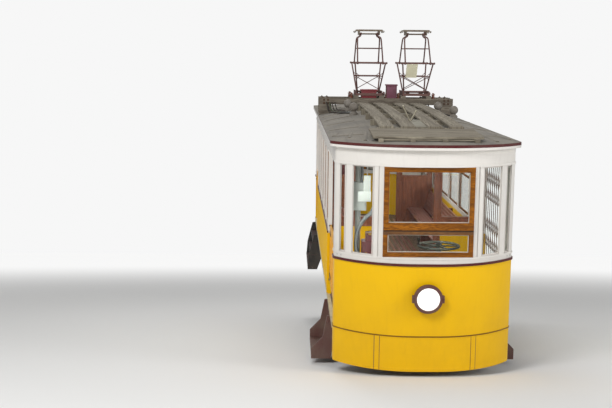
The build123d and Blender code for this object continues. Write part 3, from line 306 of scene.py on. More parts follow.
fill(dust, outs, [("Colour", mixed(dust, total, given["Colour"], given["Dust Colour"])), ("Dusty", total)])
print("dust group:", len(dust.nodes), "nodes")

# %% [markdown]
# Brushed enamel over planks and sheet metal has two scales of relief: a long ripple from the metal
# beneath and a fine grain from the brush. Their sum goes to a Bump node's Height in each material.

# %% Shader group: ripple and brush marks
ripple, given, outs = group("painted_relief", [("Ripple", 0.6), ("Grain", 0.25), ("Grain Scale", 90.0)],
                            [("Height", FLOAT), ("Patch", FLOAT)])
place = object_place(ripple)
wide = noise(ripple, place, 2.6, 2.0)
waves = reckon(ripple, "MULTIPLY", wide, given["Ripple"])
brushed = reckon(ripple, "MULTIPLY", noise(ripple, place, given["Grain Scale"], 3.0), given["Grain"])
fill(ripple, outs, [("Height", reckon(ripple, "ADD", waves, brushed)), ("Patch", wide)])
print("relief group:", len(ripple.nodes), "nodes")

# %% [markdown]
# Wood shows long streaks along its fibres with small pores between them. Noise stretched along one
# axis gives both. The Stretch vector is small along the fibres and large across them, so one group
# serves sashes, slats, planks and floor boards.

# %% Shader group: wood grain
grain, given, outs = group("wood_grain", [
    ("Light", (0.4, 0.2, 0.08, 1)), ("Dark", (0.15, 0.06, 0.02, 1)), ("Stretch", (1.0, 1.0, 1.0)),
    ("Contrast", 1.0),
], [("Colour", COLOUR), ("Height", FLOAT)])
drawn = node(grain, "VectorMath", [(0, object_place(grain)), (1, given["Stretch"])],
             operation="MULTIPLY").outputs[0]
bands = noise(grain, drawn, 1.0, 5.0, ("Distortion", 0.25))
pores = noise(grain, drawn, 6.0, 2.0)
blend = reckon(grain, "MULTIPLY", spread(grain, bands, 0.3, 0.7), spread(grain, pores, 0.35, 0.6))
blend = reckon(grain, "MULTIPLY", blend, given["Contrast"], use_clamp=True)
fill(grain, outs, [("Colour", mixed(grain, blend, given["Dark"], given["Light"])), ("Height", pores)])
print("grain group:", len(grain.nodes), "nodes")

# %% [markdown]
# A finish is one material. Painted finishes differ in colour, gloss and how much dust they carry, so
# one function builds them: dust over the colour, roughness that rises where it is dusty, and relief
# through a Bump node. Numbers that are the same all over are set on the shader's own sockets.

# %% Enamel finishes
street_dirt, rust = (120, 108, 92), (104, 74, 52)


def enamel(name, paint, gloss=0.3, low=(0.5, 1.4), low_amount=0.5, cloud=0.10, streak=0.12, metal=0.0,
           dusty=street_dirt, grain_scale=90.0, relief=0.0006, coat=0.25):
    """A painted or bare metal finish, with dust below the two heights of low, clouds and streaks."""
    tree, skin = finish(name)
    dirt = node(tree, "Group", node_tree=dust)
    fill(tree, dirt, [("Colour", colour(*paint)), ("Dust Colour", colour(*dusty)), ("Low", low[0]),
                      ("High", low[1]), ("Low Amount", low_amount), ("Cloud Amount", cloud),
                      ("Streak Amount", streak)])
    surface = node(tree, "Group", node_tree=ripple)
    fill(tree, surface, [("Ripple", 0.5), ("Grain", 0.25), ("Grain Scale", grain_scale)])
    rough = spread(tree, dirt.outputs["Dusty"], 0.0, 0.7, gloss, 0.85)
    raise_relief(tree, skin, surface.outputs["Height"], 0.35, relief * 10)
    fill(tree, skin, [("Base Color", dirt.outputs["Colour"]), ("Roughness", rough), ("Metallic", metal),
                      ("Coat Weight", coat), ("Coat Roughness", 0.12)])


enamel("body_yellow", (234, 184, 0), 0.36, (0.3, 1.1), 0.20, 0.05, 0.06, dusty=(170, 120, 40), coat=0.04)
enamel("body_white", (220, 216, 210), 0.38, (1.0, 1.9), 0.06, 0.06, 0.07, dusty=(150, 140, 128))
enamel("line_maroon", (78, 18, 20), 0.35, (0.5, 1.4), 0.2, 0.12, 0.1)
enamel("step_maroon", (86, 32, 34), 0.45, (0.2, 1.4), 0.45, 0.2, 0.15)
enamel("sole_cream", (212, 198, 158), 0.5, (0.4, 1.6), 0.4, 0.2, 0.2)
enamel("frame_black", (34, 33, 34), 0.5, (0.0, 1.6), 0.55, 0.25, 0.1, coat=0.0, relief=0.001)
enamel("gear_green", (66, 70, 60), 0.5, (0.0, 1.2), 0.5, 0.25, 0.1, coat=0.0)
enamel("controller_maroon", (92, 34, 40), 0.4, (0.5, 1.2), 0.2, 0.1, 0.05)
enamel("post_grey", (188, 188, 184), 0.45, (0.5, 1.2), 0.1, 0.08, 0.1)
enamel("stile_olive", (88, 80, 48), 0.5, (0.5, 1.6), 0.3, 0.2, 0.2)
enamel("lattice_maroon", (134, 114, 102), 0.45, (0.5, 1.6), 0.3, 0.3, 0.1, 0.3)
enamel("roof_metal", (128, 122, 114), 0.6, (2.0, 3.0), 0.2, 0.45, 0.2, dusty=(84, 72, 60), coat=0.0)
enamel("collector_brown", (92, 62, 58), 0.6, (3.0, 5.5), 0.2, 0.45, 0.2, dusty=(124, 92, 82), coat=0.0,
       grain_scale=160.0, relief=0.001)
print(len(finishes) - 1, "enamels mixed")

# %% [markdown]
# The belt line and the thin line over the skirt are one frame part. The belt's is maroon, but the
# lower one is only a dark joint in the yellow. Height in the level cabin tells them apart, and it is a
# dot product of the place with the cabin's own up direction.

# %% Dark joint under the dash
def opened(name):
    """A finish made before: its node tree and its shader."""
    return finishes[name].node_tree, finishes[name].node_tree.nodes["Principled BSDF"]


tree, skin = opened("line_maroon")
upward = node(tree, "VectorMath", [(0, object_place(tree)), (1, tuple(cabin_up))], operation="DOT_PRODUCT")
under = reckon(tree, "LESS_THAN", upward.outputs["Value"], floor_height * cabin_up.z + 0.30)
maroon = skin.inputs["Base Color"].links[0].from_socket
fill(tree, skin, [("Base Color", mixed(tree, under, maroon, colour(122, 84, 10)))])
print("the lower line is a dark joint")

# %% [markdown]
# Bare iron is built the same way, with less gloss and a rust colour for dust. Wheels are iron too, but
# rolling polishes their treads bright. The distance from the axle tells tread from web: both axles lie
# 1.75 m from the middle, so the Y coordinate's size, less 1.75, serves both wheelsets.

# %% Iron, steel and polished treads
enamel("box_iron", (44, 42, 40), 0.45, (0.0, 0.9), 0.35, 0.35, 0.0, 0.4, rust, coat=0.0)
enamel("brake_iron", (70, 56, 46), 0.7, (0.0, 0.9), 0.4, 0.6, 0.0, 0.3, rust, coat=0.0)
enamel("spring_steel", (58, 55, 52), 0.45, (0.0, 1.2), 0.35, 0.3, 0.0, 0.7, rust, coat=0.0)
enamel("clevis_steel", (92, 90, 88), 0.35, (0.0, 0.9), 0.2, 0.4, 0.0, 0.8, rust, coat=0.0)
enamel("collector_shoe", (126, 116, 102), 0.4, (0, 1), 0, 0.5, 0.1, 0.8, rust, coat=0.0)
enamel("wheel_iron", (72, 64, 58), 0.65, (0.0, 0.8), 0.35, 0.5, 0.0, 0.5, rust, coat=0.0)

axle_place, axle_height, tread_radius = 1.75, 0.318, 0.29
tree, skin = opened("wheel_iron")
along = reckon(tree, "SUBTRACT", reckon(tree, "ABSOLUTE", axis(tree, "Y")), axle_place)
above = reckon(tree, "SUBTRACT", axis(tree, "Z"), axle_height)
flat = node(tree, "CombineXYZ", [(0, along), (1, above)]).outputs[0]
radius = node(tree, "VectorMath", [(0, flat)], operation="LENGTH").outputs["Value"]
off = reckon(tree, "ABSOLUTE", reckon(tree, "SUBTRACT", radius, tread_radius))
bright = spread(tree, off, 0.004, 0.007, 1.0, 0.0)
old_colour, old_rough = (skin.inputs[held].links[0].from_socket for held in ("Base Color", "Roughness"))
slick = node(tree, "Mix", [(0, bright), (2, old_rough), (3, 0.22)], data_type="FLOAT").outputs[0]
fill(tree, skin, [("Base Color", mixed(tree, bright, old_colour, colour(176, 172, 168))),
                  ("Roughness", slick)])
print("six kinds of iron, with polished treads")

# %% [markdown]
# Varnished wood has a clear coat over its grain, worn thin on the sashes, while roof planks and floor
# boards are dry and grey. The grain group gives the colour, dust lies over it, and a clear coat is set
# only on the varnished and painted ones. The fibres run along each piece: across the car for sashes,
# along it for slats. The deck in front of the walkway has its boards across, so there the walkway's
# grain is turned.

# %% Wood finishes
def timber(name, light, dark, stretch, gloss, coat=0.0, contrast=1.3, cloud=0.1, dusty=street_dirt,
           depth=0.002):
    """A wooden finish from a light and a dark tone, its grain stretched on three axes."""
    tree, skin = finish(name)
    fibres = node(tree, "Group", node_tree=grain)
    fill(tree, fibres, [("Light", colour(*light)), ("Dark", colour(*dark)), ("Stretch", stretch),
                        ("Contrast", contrast)])
    dirt = node(tree, "Group", node_tree=dust)
    fill(tree, dirt, [("Colour", fibres.outputs["Colour"]), ("Dust Colour", colour(*dusty)),
                      ("Low Amount", 0.1), ("Cloud Amount", cloud), ("Streak Amount", 0.0)])
    rough = spread(tree, fibres.outputs["Height"], 0.3, 0.7, gloss + 0.1, gloss)
    raise_relief(tree, skin, fibres.outputs["Height"], 0.4, depth)
    fill(tree, skin, [("Base Color", dirt.outputs["Colour"]), ("Roughness", rough), ("Coat Weight", coat),
                      ("Coat Roughness", 0.1)])
    return tree, fibres


timber("varnished_wood", (156, 94, 10), (104, 58, 4), (3, 20, 26), 0.42, 0.06, cloud=0.0)
timber("bench_wood", (150, 78, 62), (88, 40, 32), (40, 2.2, 8), 0.3, 0.5)
timber("bulkhead_wood", (164, 96, 66), (112, 58, 38), (24, 24, 2.5), 0.35, 0.4)
timber("bridge_timber", (140, 132, 118), (88, 80, 70), (1.2, 26, 26), 0.85, cloud=0.35, dusty=(90, 76, 66),
       depth=0.004)
timber("gate_yellow", (240, 182, 20), (214, 146, 10), (30, 30, 2.4), 0.4, 0.25, contrast=1.6)
timber("floor_boards", (128, 104, 80), (78, 60, 44), (30, 1.5, 30), 0.7, cloud=0.3)
tree, fibres = timber("walk_timber", (156, 148, 130), (104, 96, 82), (30, 0.8, 0.8), 0.85, cloud=0.25,
                      dusty=(96, 84, 72), depth=0.004)
deck = reckon(tree, "LESS_THAN", axis(tree, "Y"), -3.67)
turned_grain = node(tree, "Mix", [(0, deck), (4, (30, 0.8, 0.8)), (5, (0.8, 30, 0.8))], data_type="VECTOR")
fill(tree, fibres, [("Stretch", turned_grain.outputs[1])])
for coat in ("body_yellow", "line_maroon", "varnished_wood"):
    opened(coat)[1].inputs["Specular IOR Level"].default_value = 0.2
print(len(finishes), "finishes with wood")

# %% [markdown]
# Window glass is clear with a faint green tint and a film of dust, so that the benches show through.
# Transmission is set on the shader itself, and a shadow ray passes straight through, because a pane
# refracts almost nothing. The lamp's lens is frosted and lit from behind, so it glows.

# %% Glass
tree, skin = finish("clear_glass")
film = node(tree, "Group", node_tree=dust)
fill(tree, film, [("Colour", (0.93, 0.97, 0.95, 1)), ("Dust Colour", (0.7, 0.68, 0.62, 1)),
                  ("Low Amount", 0.05), ("Cloud Amount", 0.10), ("Streak Amount", 0.12)])
fill(tree, skin, [("Base Color", film.outputs["Colour"]), ("Roughness", 0.02), ("IOR", 1.2),
                  ("Transmission Weight", 1.0), ("Specular IOR Level", 0.4)])
clear = node(tree, "BsdfTransparent", [(0, (0.90, 0.95, 0.93, 1))])
shadow = node(tree, "LightPath").outputs["Is Shadow Ray"]
passed = node(tree, "MixShader", [(0, shadow), (1, skin.outputs[0]), (2, clear.outputs[0])])
tree.links.new(passed.outputs[0], tree.nodes["Material Output"].inputs["Surface"])

tree, skin = finish("lamp_glass")
flutes = node(tree, "TexWave", [("Vector", object_place(tree)), ("Scale", 26.0), ("Distortion", 0.4)],
              bands_direction="X").outputs[1]
tint = mixed(tree, flutes, (0.80, 0.79, 0.74, 1), (0.97, 0.97, 0.94, 1))
fill(tree, skin, [("Base Color", tint), ("Emission Color", tint), ("Emission Strength", 0.75),
                  ("Roughness", 0.15)])
raise_relief(tree, skin, flutes, 0.5, 0.004)
print("two kinds of glass")

# %% [markdown]
# The roof is canvas over boards, painted again and again and worn by weather to a mottled grey brown.
# The boards under it print through as faint lines along the car, and the weave adds a fine relief.
# Lines come from a cosine of the crosswise coordinate, sharpened, and the mottling from two noises.

# %% Painted canvas
tree, skin = finish("roof_canvas")
place, board_width = object_place(tree), 0.11
patch = spread(tree, noise(tree, place, 2.3, 8.0, ("Roughness", 0.7)), 0.35, 0.68)
long_way = node(tree, "Mapping", [(0, place), ("Scale", (14.0, 0.8, 0.8))]).outputs[0]
wash = spread(tree, noise(tree, long_way, 1.0, 4.0), 0.5, 0.75, 0.0, 0.5)
mottled = mixed(tree, patch, colour(90, 84, 73), colour(130, 122, 107))
across = reckon(tree, "MULTIPLY", axis(tree, "X"), 2 * math.pi / board_width)
line = spread(tree, reckon(tree, "COSINE", across), 0.93, 1.0, 1.0, 0.0)
weave = reckon(tree, "MULTIPLY", noise(tree, place, 220.0, 2.0), 0.25)
raise_relief(tree, skin, reckon(tree, "ADD", line, weave), 0.5, 0.004)
fill(tree, skin, [("Base Color", mixed(tree, wash, mottled, colour(74, 64, 58))), ("Roughness", 0.82),
                  ("Sheen Weight", 0.1)])
print("canvas painted")

# %% [markdown]
# Each frame part names a material slot in the record, and the finishes above carry the same names, so
# one loop dresses them all. The finish goes on the object's slot, and the part's mesh is untouched.

# %% Dress the frame parts
for part in frame["record"]["subparts"]:
    dressed = nodes[part["node"]]
    if not dressed.material_slots:
        dressed.data.materials.append(None)
    for held in dressed.material_slots:
        held.link = "OBJECT"
        held.material = finishes[part["material_slot"]]

# %% [markdown]
# The rest of the script adds what is too small for the frame. Every fitting is drawn in the cabin's
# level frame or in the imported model's own, in one bmesh for each kind, from blocks, studs and turned
# shapes. These few helpers place such shapes. A stud is a low cone with eight sides, because a rivet
# head is only some millimetres wide and there are hundreds of them.

# %% Helpers for blocks, studs, turned shapes and tubes
FRONT, OUT, UP = (0, -1, 0), (1, 0, 0), (0, 0, 1)


def block(shape, x, y, z, bevel=0.0, place=None):
    """A block between two ends on each axis, with its edges rounded."""
    size = Matrix.Diagonal((abs(x[1] - x[0]), abs(y[1] - y[0]), abs(z[1] - z[0]), 1))
    middle = Matrix.Translation(((x[0] + x[1]) / 2, (y[0] + y[1]) / 2, (z[0] + z[1]) / 2))
    made = bmesh.ops.create_cube(shape, size=1, matrix=(place or Matrix()) @ middle @ size)["verts"]
    if bevel:
        edges = list({edge for vert in made for edge in vert.link_edges})
        bmesh.ops.bevel(shape, geom=edges, offset=bevel, segments=2, profile=0.5, affect="EDGES", material=-1)


def rim(shape, x, y, z, width, bevel):
    """Four blocks round an upright rectangle, the level ones over its whole width."""
    for low in (z[0], z[1] - width):
        block(shape, x, y, (low, low + width), bevel)
    for low in (x[0], x[1] - width):
        block(shape, (low, low + width), y, (z[0] + width, z[1] - width), bevel)


def facing(point, normal):
    """A place whose Z axis looks along a normal."""
    return Matrix.Translation(point) @ Vector(normal).to_track_quat("Z", "Y").to_matrix().to_4x4()


def stud(shape, point, normal, radius, height, sides=8, taper=0.6):
    """A rivet or screw head on a surface."""
    place = facing(point, normal) @ Matrix.Translation((0, 0, height / 2))
    bmesh.ops.create_cone(shape, cap_ends=True, segments=sides, radius1=radius, radius2=taper * radius,
                          depth=height, matrix=place)


def turned(shape, profile, point, normal=None, steps=24):
    """A profile of radius and height in millimetres, spun round a normal, or round the upright."""
    place = Matrix.Translation(point) if normal is None else facing(point, normal)
    points = [shape.verts.new((radius / 1000, 0, height / 1000)) for radius, height in profile]
    edges = [shape.edges.new(pair) for pair in zip(points, points[1:])]
    spun = bmesh.ops.spin(shape, geom=points + edges, cent=(0, 0, 0), axis=(0, 0, 1), angle=2 * math.pi,
                          steps=steps, use_merge=True)
    rim_verts = {vert for part in spun["geom_last"] for vert in getattr(part, "verts", [part])}
    grown, wave = set(points), list(points)
    while wave:
        wave = [e.other_vert(v) for v in wave for e in v.link_edges if e.other_vert(v) not in grown]
        grown.update(wave)
    bmesh.ops.transform(shape, matrix=place, verts=list(grown | rim_verts))
    bmesh.ops.remove_doubles(shape, verts=list(grown | rim_verts), dist=1e-5)


def tube(shape, points, radius, order=3, rounds=2):
    """A tube along a smooth curve through control points, added to a bmesh."""
    curve = bpy.data.curves.new("route", "CURVE")
    curve.dimensions = "3D"
    curve.bevel_depth = radius
    curve.bevel_resolution = rounds
    curve.use_fill_caps = True
    spline = curve.splines.new("NURBS")
    spline.points.add(len(points) - 1)
    for held, point in zip(spline.points, points):
        held.co = (*point, 1)
    spline.order_u = min(order, len(points))
    spline.use_endpoint_u = True
    spline.resolution_u = 5
    drawn = bpy.data.objects.new("route", curve)
    mesh = bpy.data.meshes.new_from_object(drawn)
    shape.from_mesh(mesh)
    bpy.data.objects.remove(drawn)
    bpy.data.curves.remove(curve)
    bpy.data.meshes.remove(mesh)


print("helpers ready")

# %% [markdown]
# Both ends are bowed. Their plan is a short flat in the middle, a long arc to each side and a tight
# arc at the corner. One function gives the skin's place over any x, so that strips and rivets lie on
# it.

# %% The bowed end's plan
half_width, corner_radius, corner_y, front_y = 1.0, 0.10, 3.8, 4.27
bow_radius, flat_half = 1.13577, 0.10655
bow_middle = front_y - bow_radius
corner_x = half_width - corner_radius


def end_skin(x, inset=0.0):
    """The uphill end's skin over a distance x from the middle: its y, and the way out of it."""
    side, reach = math.copysign(1, x), abs(x)
    if reach <= flat_half:
        return inset - front_y, FRONT
    bow = bow_radius - inset
    if reach < flat_half + bow * math.sin(math.radians(50)):
        y = math.sqrt(bow**2 - (reach - flat_half) ** 2)
        return -(bow_middle + y), (side * (reach - flat_half) / bow, -y / bow, 0)
    corner = corner_radius - inset
    y = math.sqrt(max(corner**2 - (reach - corner_x) ** 2, 0))
    return -(corner_y + y), (side * (reach - corner_x) / corner, -y / corner, 0)


def thicken(shape, faces, thickness, outward):
    """A sheet of faces made solid, to the same side whichever way its faces first looked."""
    bmesh.ops.recalc_face_normals(shape, faces=faces)
    bmesh.ops.solidify(shape, geom=faces, thickness=thickness if outward(faces) else -thickness)


def bowed_strip(shape, first_x, last_x, z_low, z_high, inset, thickness, steps=12):
    """A strip that lies along the bowed skin between two x, as an edge line raised and thickened."""
    xs = [first_x + (last_x - first_x) * k / steps for k in range(steps + 1)]
    line = [shape.verts.new((x, end_skin(x, inset)[0], z_low)) for x in xs]
    edges = [shape.edges.new(pair) for pair in zip(line, line[1:])]
    raised = bmesh.ops.extrude_edge_only(shape, edges=edges)["geom"]
    top = [part for part in raised if isinstance(part, bmesh.types.BMVert)]
    bmesh.ops.translate(shape, vec=(0, 0, z_high - z_low), verts=top)
    thicken(shape, [part for part in raised if isinstance(part, bmesh.types.BMFace)], thickness,
            lambda faces: sum((face.normal.y for face in faces), 0.0) < 0)


print("skin at the middle, post and corner:", [round(end_skin(x)[0], 3) for x in (0, 0.54, 0.99)])

# %% [markdown]
# The skirt under the dash is three plates. Narrow strips cover the seams where they meet, held by a row of
# screws down each edge, and more screws run along the skirt's top and bottom edges. All of it is
# painted over in the body's yellow, so the rows show only as small bumps that catch the light. A thin
# brown line down each side of a strip is a painted shadow, cast by the strip on the skirt.

# %% Skirt strips and painted screws
strip_x, strip_width, strip_proud = 0.532, 0.048, 0.006
skirt_bottom, screw = -0.395, 0.0055
strips, screws, strip_shadow_mesh = bmesh.new(), bmesh.new(), bmesh.new()
bowed_strip(strips, strip_x - strip_width / 2, strip_x + strip_width / 2, skirt_bottom + 0.002, -0.008,
            -strip_proud, strip_proud + 0.002, steps=4)
for x in (strip_x - 0.014, strip_x + 0.014):
    y, out = end_skin(x, -strip_proud)
    for k in range(6):
        stud(screws, (x, y, skirt_bottom + 0.035 + k * 0.062), out, screw, 0.003)
for x in [0.02 + k * 0.0285 for k in range(34)]:
    if abs(x - strip_x) > 0.04:
        y, out = end_skin(x)
        for z in (skirt_bottom + 0.018, -0.024):
            stud(screws, (x, y, z), out, screw, 0.0025)
# Two thin brown strips beside each cover strip paint its shadow on the skirt.
for x in (strip_x - strip_width / 2 - 0.004, strip_x + strip_width / 2 + 0.004):
    bowed_strip(strip_shadow_mesh, x - 0.004, x + 0.004, skirt_bottom + 0.002, -0.010, -0.0015, 0.003, steps=1)
enamel("strip_shadow_brown", (150, 106, 12), 0.6, (0.3, 1.1), 0.3, coat=0.0)
build("skirt_cover_strips", strips, "body_yellow", BOTH)
build("skirt_screws", screws, "body_yellow", BOTH)
build("skirt_strip_shadows", strip_shadow_mesh, "strip_shadow_brown", BOTH)
print("strips and screws on both skirts")

# %% [markdown]
# The middle window has two sashes. The upper one is proud of the lower one, so its bottom rail would
# shade the rail behind it. That rail is a darker copy of the varnish as painted shade, and a dark strip
# between them is a painted shadow. The frame gives the whole window in one plane; this adds the upper
# sash's face as four rails with rounded edges, a bead of putty round each light, and the lower sash's
# top rail and lift.

# %% Middle window: upper sash, beads and lift
sash_y, sash_half, sash_top, upper_low, sash_rail = -4.222, 0.488, 1.853, 1.170, 0.054
across, face, shallow = (-sash_half, sash_half), (sash_y - 0.012, sash_y + 0.004), sash_y + 0.004
upper, beads, lower_rail, lower_rail_shadow = (bmesh.new() for _ in range(4))
block(upper, across, face, (sash_top - sash_rail, sash_top), 0.003)
block(upper, across, face, (upper_low, upper_low + 0.080), 0.003)
for x in (-sash_half, sash_half - sash_rail):
    block(upper, (x, x + sash_rail), face, (upper_low + 0.080, sash_top - sash_rail), 0.003)
block(upper, (-0.12, 0.12), (sash_y - 0.010, shallow), (0.890, 0.908), 0.003)
for upright in ((0.927, 1.119), (1.250, 1.803)):
    rim(beads, (-0.438, 0.438), (sash_y + 0.010, sash_y + 0.026), upright, 0.007, 0.002)
# The lower rail's darker wood is painted shade, and the dark strip over it is a painted shadow.
block(lower_rail, across, (sash_y - 0.002, shallow), (1.119, 1.158), 0.002)
block(lower_rail_shadow, across, (sash_y - 0.006, shallow), (1.157, 1.1695), 0.001)
enamel("pale_putty", (196, 192, 182), 0.6, (1, 2), 0.1, 0.3, 0.1, coat=0.0)
enamel("painted_shadow_dark", (44, 30, 18), 0.9, coat=0.0)
timber("painted_shade_wood", (122, 76, 16), (86, 50, 8), (3, 20, 26), 0.5)
build("upper_sash_face", upper, "varnished_wood", ENDS)
build("sash_beads", beads, "pale_putty", ENDS)
build("lower_sash_rail", lower_rail, "painted_shade_wood", ENDS)
build("sash_painted_shadow", lower_rail_shadow, "painted_shadow_dark", ENDS)
print("upper sash face and beads at both ends")

# %% [markdown]
# The narrow lights beside it are set straight into the white posts. A slim painted stop runs round
# each on the inside of the glass. The top and bottom stops follow the bow, and the side ones are
# straight.

# %% Stops round the end lights
stops, stop, stop_low, stop_high = bmesh.new(), 0.014, 0.876, 1.854
for inner_x, outer_x in ((0.591, 0.814), (0.881, 0.944)):
    for z in (stop_low, stop_high - stop):
        bowed_strip(stops, inner_x, outer_x, z, z + stop, 0.012, 0.016, steps=6)
    for x in (inner_x, outer_x - stop):
        y = end_skin(x + stop / 2, 0.012)[0]
        block(stops, (x, x + stop), (y, y + 0.016), (stop_low + stop, stop_high - stop), 0.002)
enamel("stop_white", (206, 200, 194), 0.45, (1.0, 1.9), 0.06, 0.1, 0.1, dusty=(150, 128, 118))
build("end_light_stops", stops, "stop_white", BOTH)
print("stops in the end lights")

# %% [markdown]
# The headlamp is a cast ring with a lug on each side, and a domed lens held by a thin bead. Eight
# small bolts hold the ring, and a knob stands on each lug. Turned shapes make them.

# %% Headlamp bead, bolts and knobs
lamp_z, lamp_front, bolt_circle = 0.44, -4.370, 0.149
lamp_trim = bmesh.new()
turned(lamp_trim, [(124, -4), (126, 3), (131, 5), (137, 3), (139, -4)], (0, lamp_front, lamp_z), FRONT, 48)
for angle in [math.radians(22.5 + 45 * k) for k in range(8)]:
    spot = (bolt_circle * math.cos(angle), lamp_front + 0.001, lamp_z + bolt_circle * math.sin(angle))
    stud(lamp_trim, spot, FRONT, 0.0045, 0.004)
for x in (-0.164, 0.164):
    turned(lamp_trim, [(0, 24), (8, 22), (11, 16), (8, 10), (7, 0), (14, -4)],
           (x, lamp_front + 0.012, lamp_z), FRONT, 12)
build("lamp_trim", lamp_trim, "step_maroon", ENDS, smooth=40)
print("lamp trim at both ends")

# %% [markdown]
# A thin drip moulding runs round the bow just above the end windows, with a fine shadow line under it.
# Two bolts stand at each corner of the white sill, where the end frame is drawn to the side.

# %% Drip moulding and sill bolts
drips, shade, sill_bolts = bmesh.new(), bmesh.new(), bmesh.new()
bowed_strip(drips, -0.975, 0.975, 1.862, 1.872, -0.007, 0.008, steps=32)
bowed_strip(shade, -0.975, 0.975, 1.858, 1.862, -0.002, 0.003, steps=32)
for x in (0.925, 0.965):
    y, out = end_skin(x)
    turned(sill_bolts, [(0, 7), (6, 6), (9, 2), (9, -2)], (x, y, 0.838), out, 10)
enamel("shadow_beige", (164, 148, 136), 0.6, (1, 2), 0.1, coat=0.0)
build("end_drips", drips, "body_white", ENDS)
build("sill_bolts", sill_bolts, "post_grey", BOTH)
build("drip_shadow_lines", shade, "shadow_beige", ENDS)
print("drips and sill bolts at both ends")

# %% [markdown]
# Along the sides, each window has a timber frame set in the white wall, with a middle rail where the
# drop sash ends. White pilaster strips cover the joints between the windows, and a thin drip rail runs
# above them. The ribbed panels below are part of the frame.

# %% Side window frames and pilasters
saloon_half, window_count, post = 2.24, 5, 0.095
pitch = 2 * saloon_half / window_count
side_low, side_high, side_rail, deep = 0.855, 1.803, 0.032, (0.972, 0.984)
side_frames, pilasters = bmesh.new(), bmesh.new()
for k in range(window_count):
    start = -saloon_half + k * pitch + post / 2
    end = start + pitch - post
    for z in (side_low, 1.36, side_high - side_rail):
        block(side_frames, deep, (start, end), (z, z + side_rail), 0.003)
    for y in (start, end - side_rail):
        block(side_frames, deep, (y, y + side_rail), (side_low + side_rail, side_high - 0.05), 0.003)
    middle = (start + end) / 2
    block(side_frames, (0.984, 0.990), (middle - 0.03, middle + 0.03), (1.367, 1.384), 0.002)
for y in [-saloon_half + k * pitch for k in range(window_count + 1)]:
    block(pilasters, (0.999, 1.008), (y - 0.026, y + 0.026), (0.812, 1.853), 0.003)
block(pilasters, (0.999, 1.012), (-2.24, 2.24), (1.822, 1.840), 0.003)
build("side_window_frames", side_frames, "varnished_wood", SIDES)
build("side_pilasters", pilasters, "body_white", SIDES)
print(2 * window_count, "side windows framed")

# %% [markdown]
# The canvas was laid in lengths across the roof and tacked over each seam. Near the ends the cover
# runs out in folds, from the walkway down to the edge. Both stand only some millimetres proud, so they
# are narrow strips bent over the roof. The roof is arched across, and its crown line is a long arc
# that falls gently to both ends. Two functions give the height of each.

# %% The roof's shape
roof_base, roof_crown, roof_half, roof_reach = 2.099, 0.150, 1.060, 4.330
crown_radius = (roof_reach**2 + roof_crown**2) / (2 * roof_crown)


def crown(y):
    """The height of the crown line at a distance along the car."""
    return roof_base + math.sqrt(crown_radius**2 - y**2) - (crown_radius - roof_crown)


def roof_skin(x, y):
    """The height of the roof's skin at a place of the plan."""
    rise = crown(y) - roof_base
    arch = (roof_half**2 + rise**2) / (2 * rise)
    return roof_base + math.sqrt(arch**2 - x**2) - (arch - rise)


def crowned_board(shape, x, y, top, thickness, steps=10, height=lambda x, y: crown(y)):
    """A board along the car that follows the crown line, its top some way above it."""
    size = Matrix.Diagonal((x[1] - x[0], y[1] - y[0], 1, 1))
    middle = Matrix.Translation(((x[0] + x[1]) / 2, (y[0] + y[1]) / 2, 0))
    made = bmesh.ops.create_grid(shape, x_segments=1, y_segments=steps, size=0.5,
                                 matrix=middle @ size)["verts"]
    for vert in made:
        vert.co.z = height(vert.co.x, vert.co.y) + top
    thicken(shape, list({face for vert in made for face in vert.link_faces}), thickness,
            lambda faces: sum(face.normal.z for face in faces) > 0)


def over_roof(shape, first, last, width, proud, steps=10):
    """A strip that lies over the camber from one point of the plan to another."""
    first, last = Vector(first), Vector(last)
    aside = (last - first).orthogonal().normalized() * width / 2
    rows = []
    for k in range(steps + 1):
        middle = first.lerp(last, k / steps)
        for edge, rise in ((-1, -0.004), (-0.45, proud), (0.45, proud), (1, -0.004)):
            point = middle + aside * edge
            rows.append(shape.verts.new((point.x, point.y, roof_skin(point.x, point.y) + rise)))
    for a in range(0, 4 * steps, 4):
        for j in range(4):
            b = (j + 1) % 4
            shape.faces.new((rows[a + j], rows[a + b], rows[a + b + 4], rows[a + j + 4]))
    for end in (0, 4 * steps):
        shape.faces.new(rows[end:end + 4])


print("crown from", round(crown(0), 3), "to", round(crown(4.0), 3))

# %% Canvas seams and folds
seams = bmesh.new()
for y in [-3.40 + k * 0.85 for k in range(9)]:
    for side in (-1, 1):
        over_roof(seams, (side * 0.66, y), (side * 1.02, y), 0.034, 0.006)
for side, fan in ((-1, (0.62, 0.78, 0.94)), (1, (0.70, 0.90))):
    for k, start in enumerate(fan):
        fold = (side * start, -3.25 + 0.10 * k), (side * (start + 0.06), -3.98 + 0.30 * k)
        over_roof(seams, *fold, 0.050, 0.010)
build("roof_seams", seams, "roof_canvas", smooth=50)
print("canvas seams and folds")

# %% [markdown]
# The walkway is four planks on low battens. Wide-headed nails hold them in pairs at each batten, and
# the deck boards and bridge timbers are bolted the same way. Years of weather have left the heads
# standing a little proud. They are one mesh of studs.

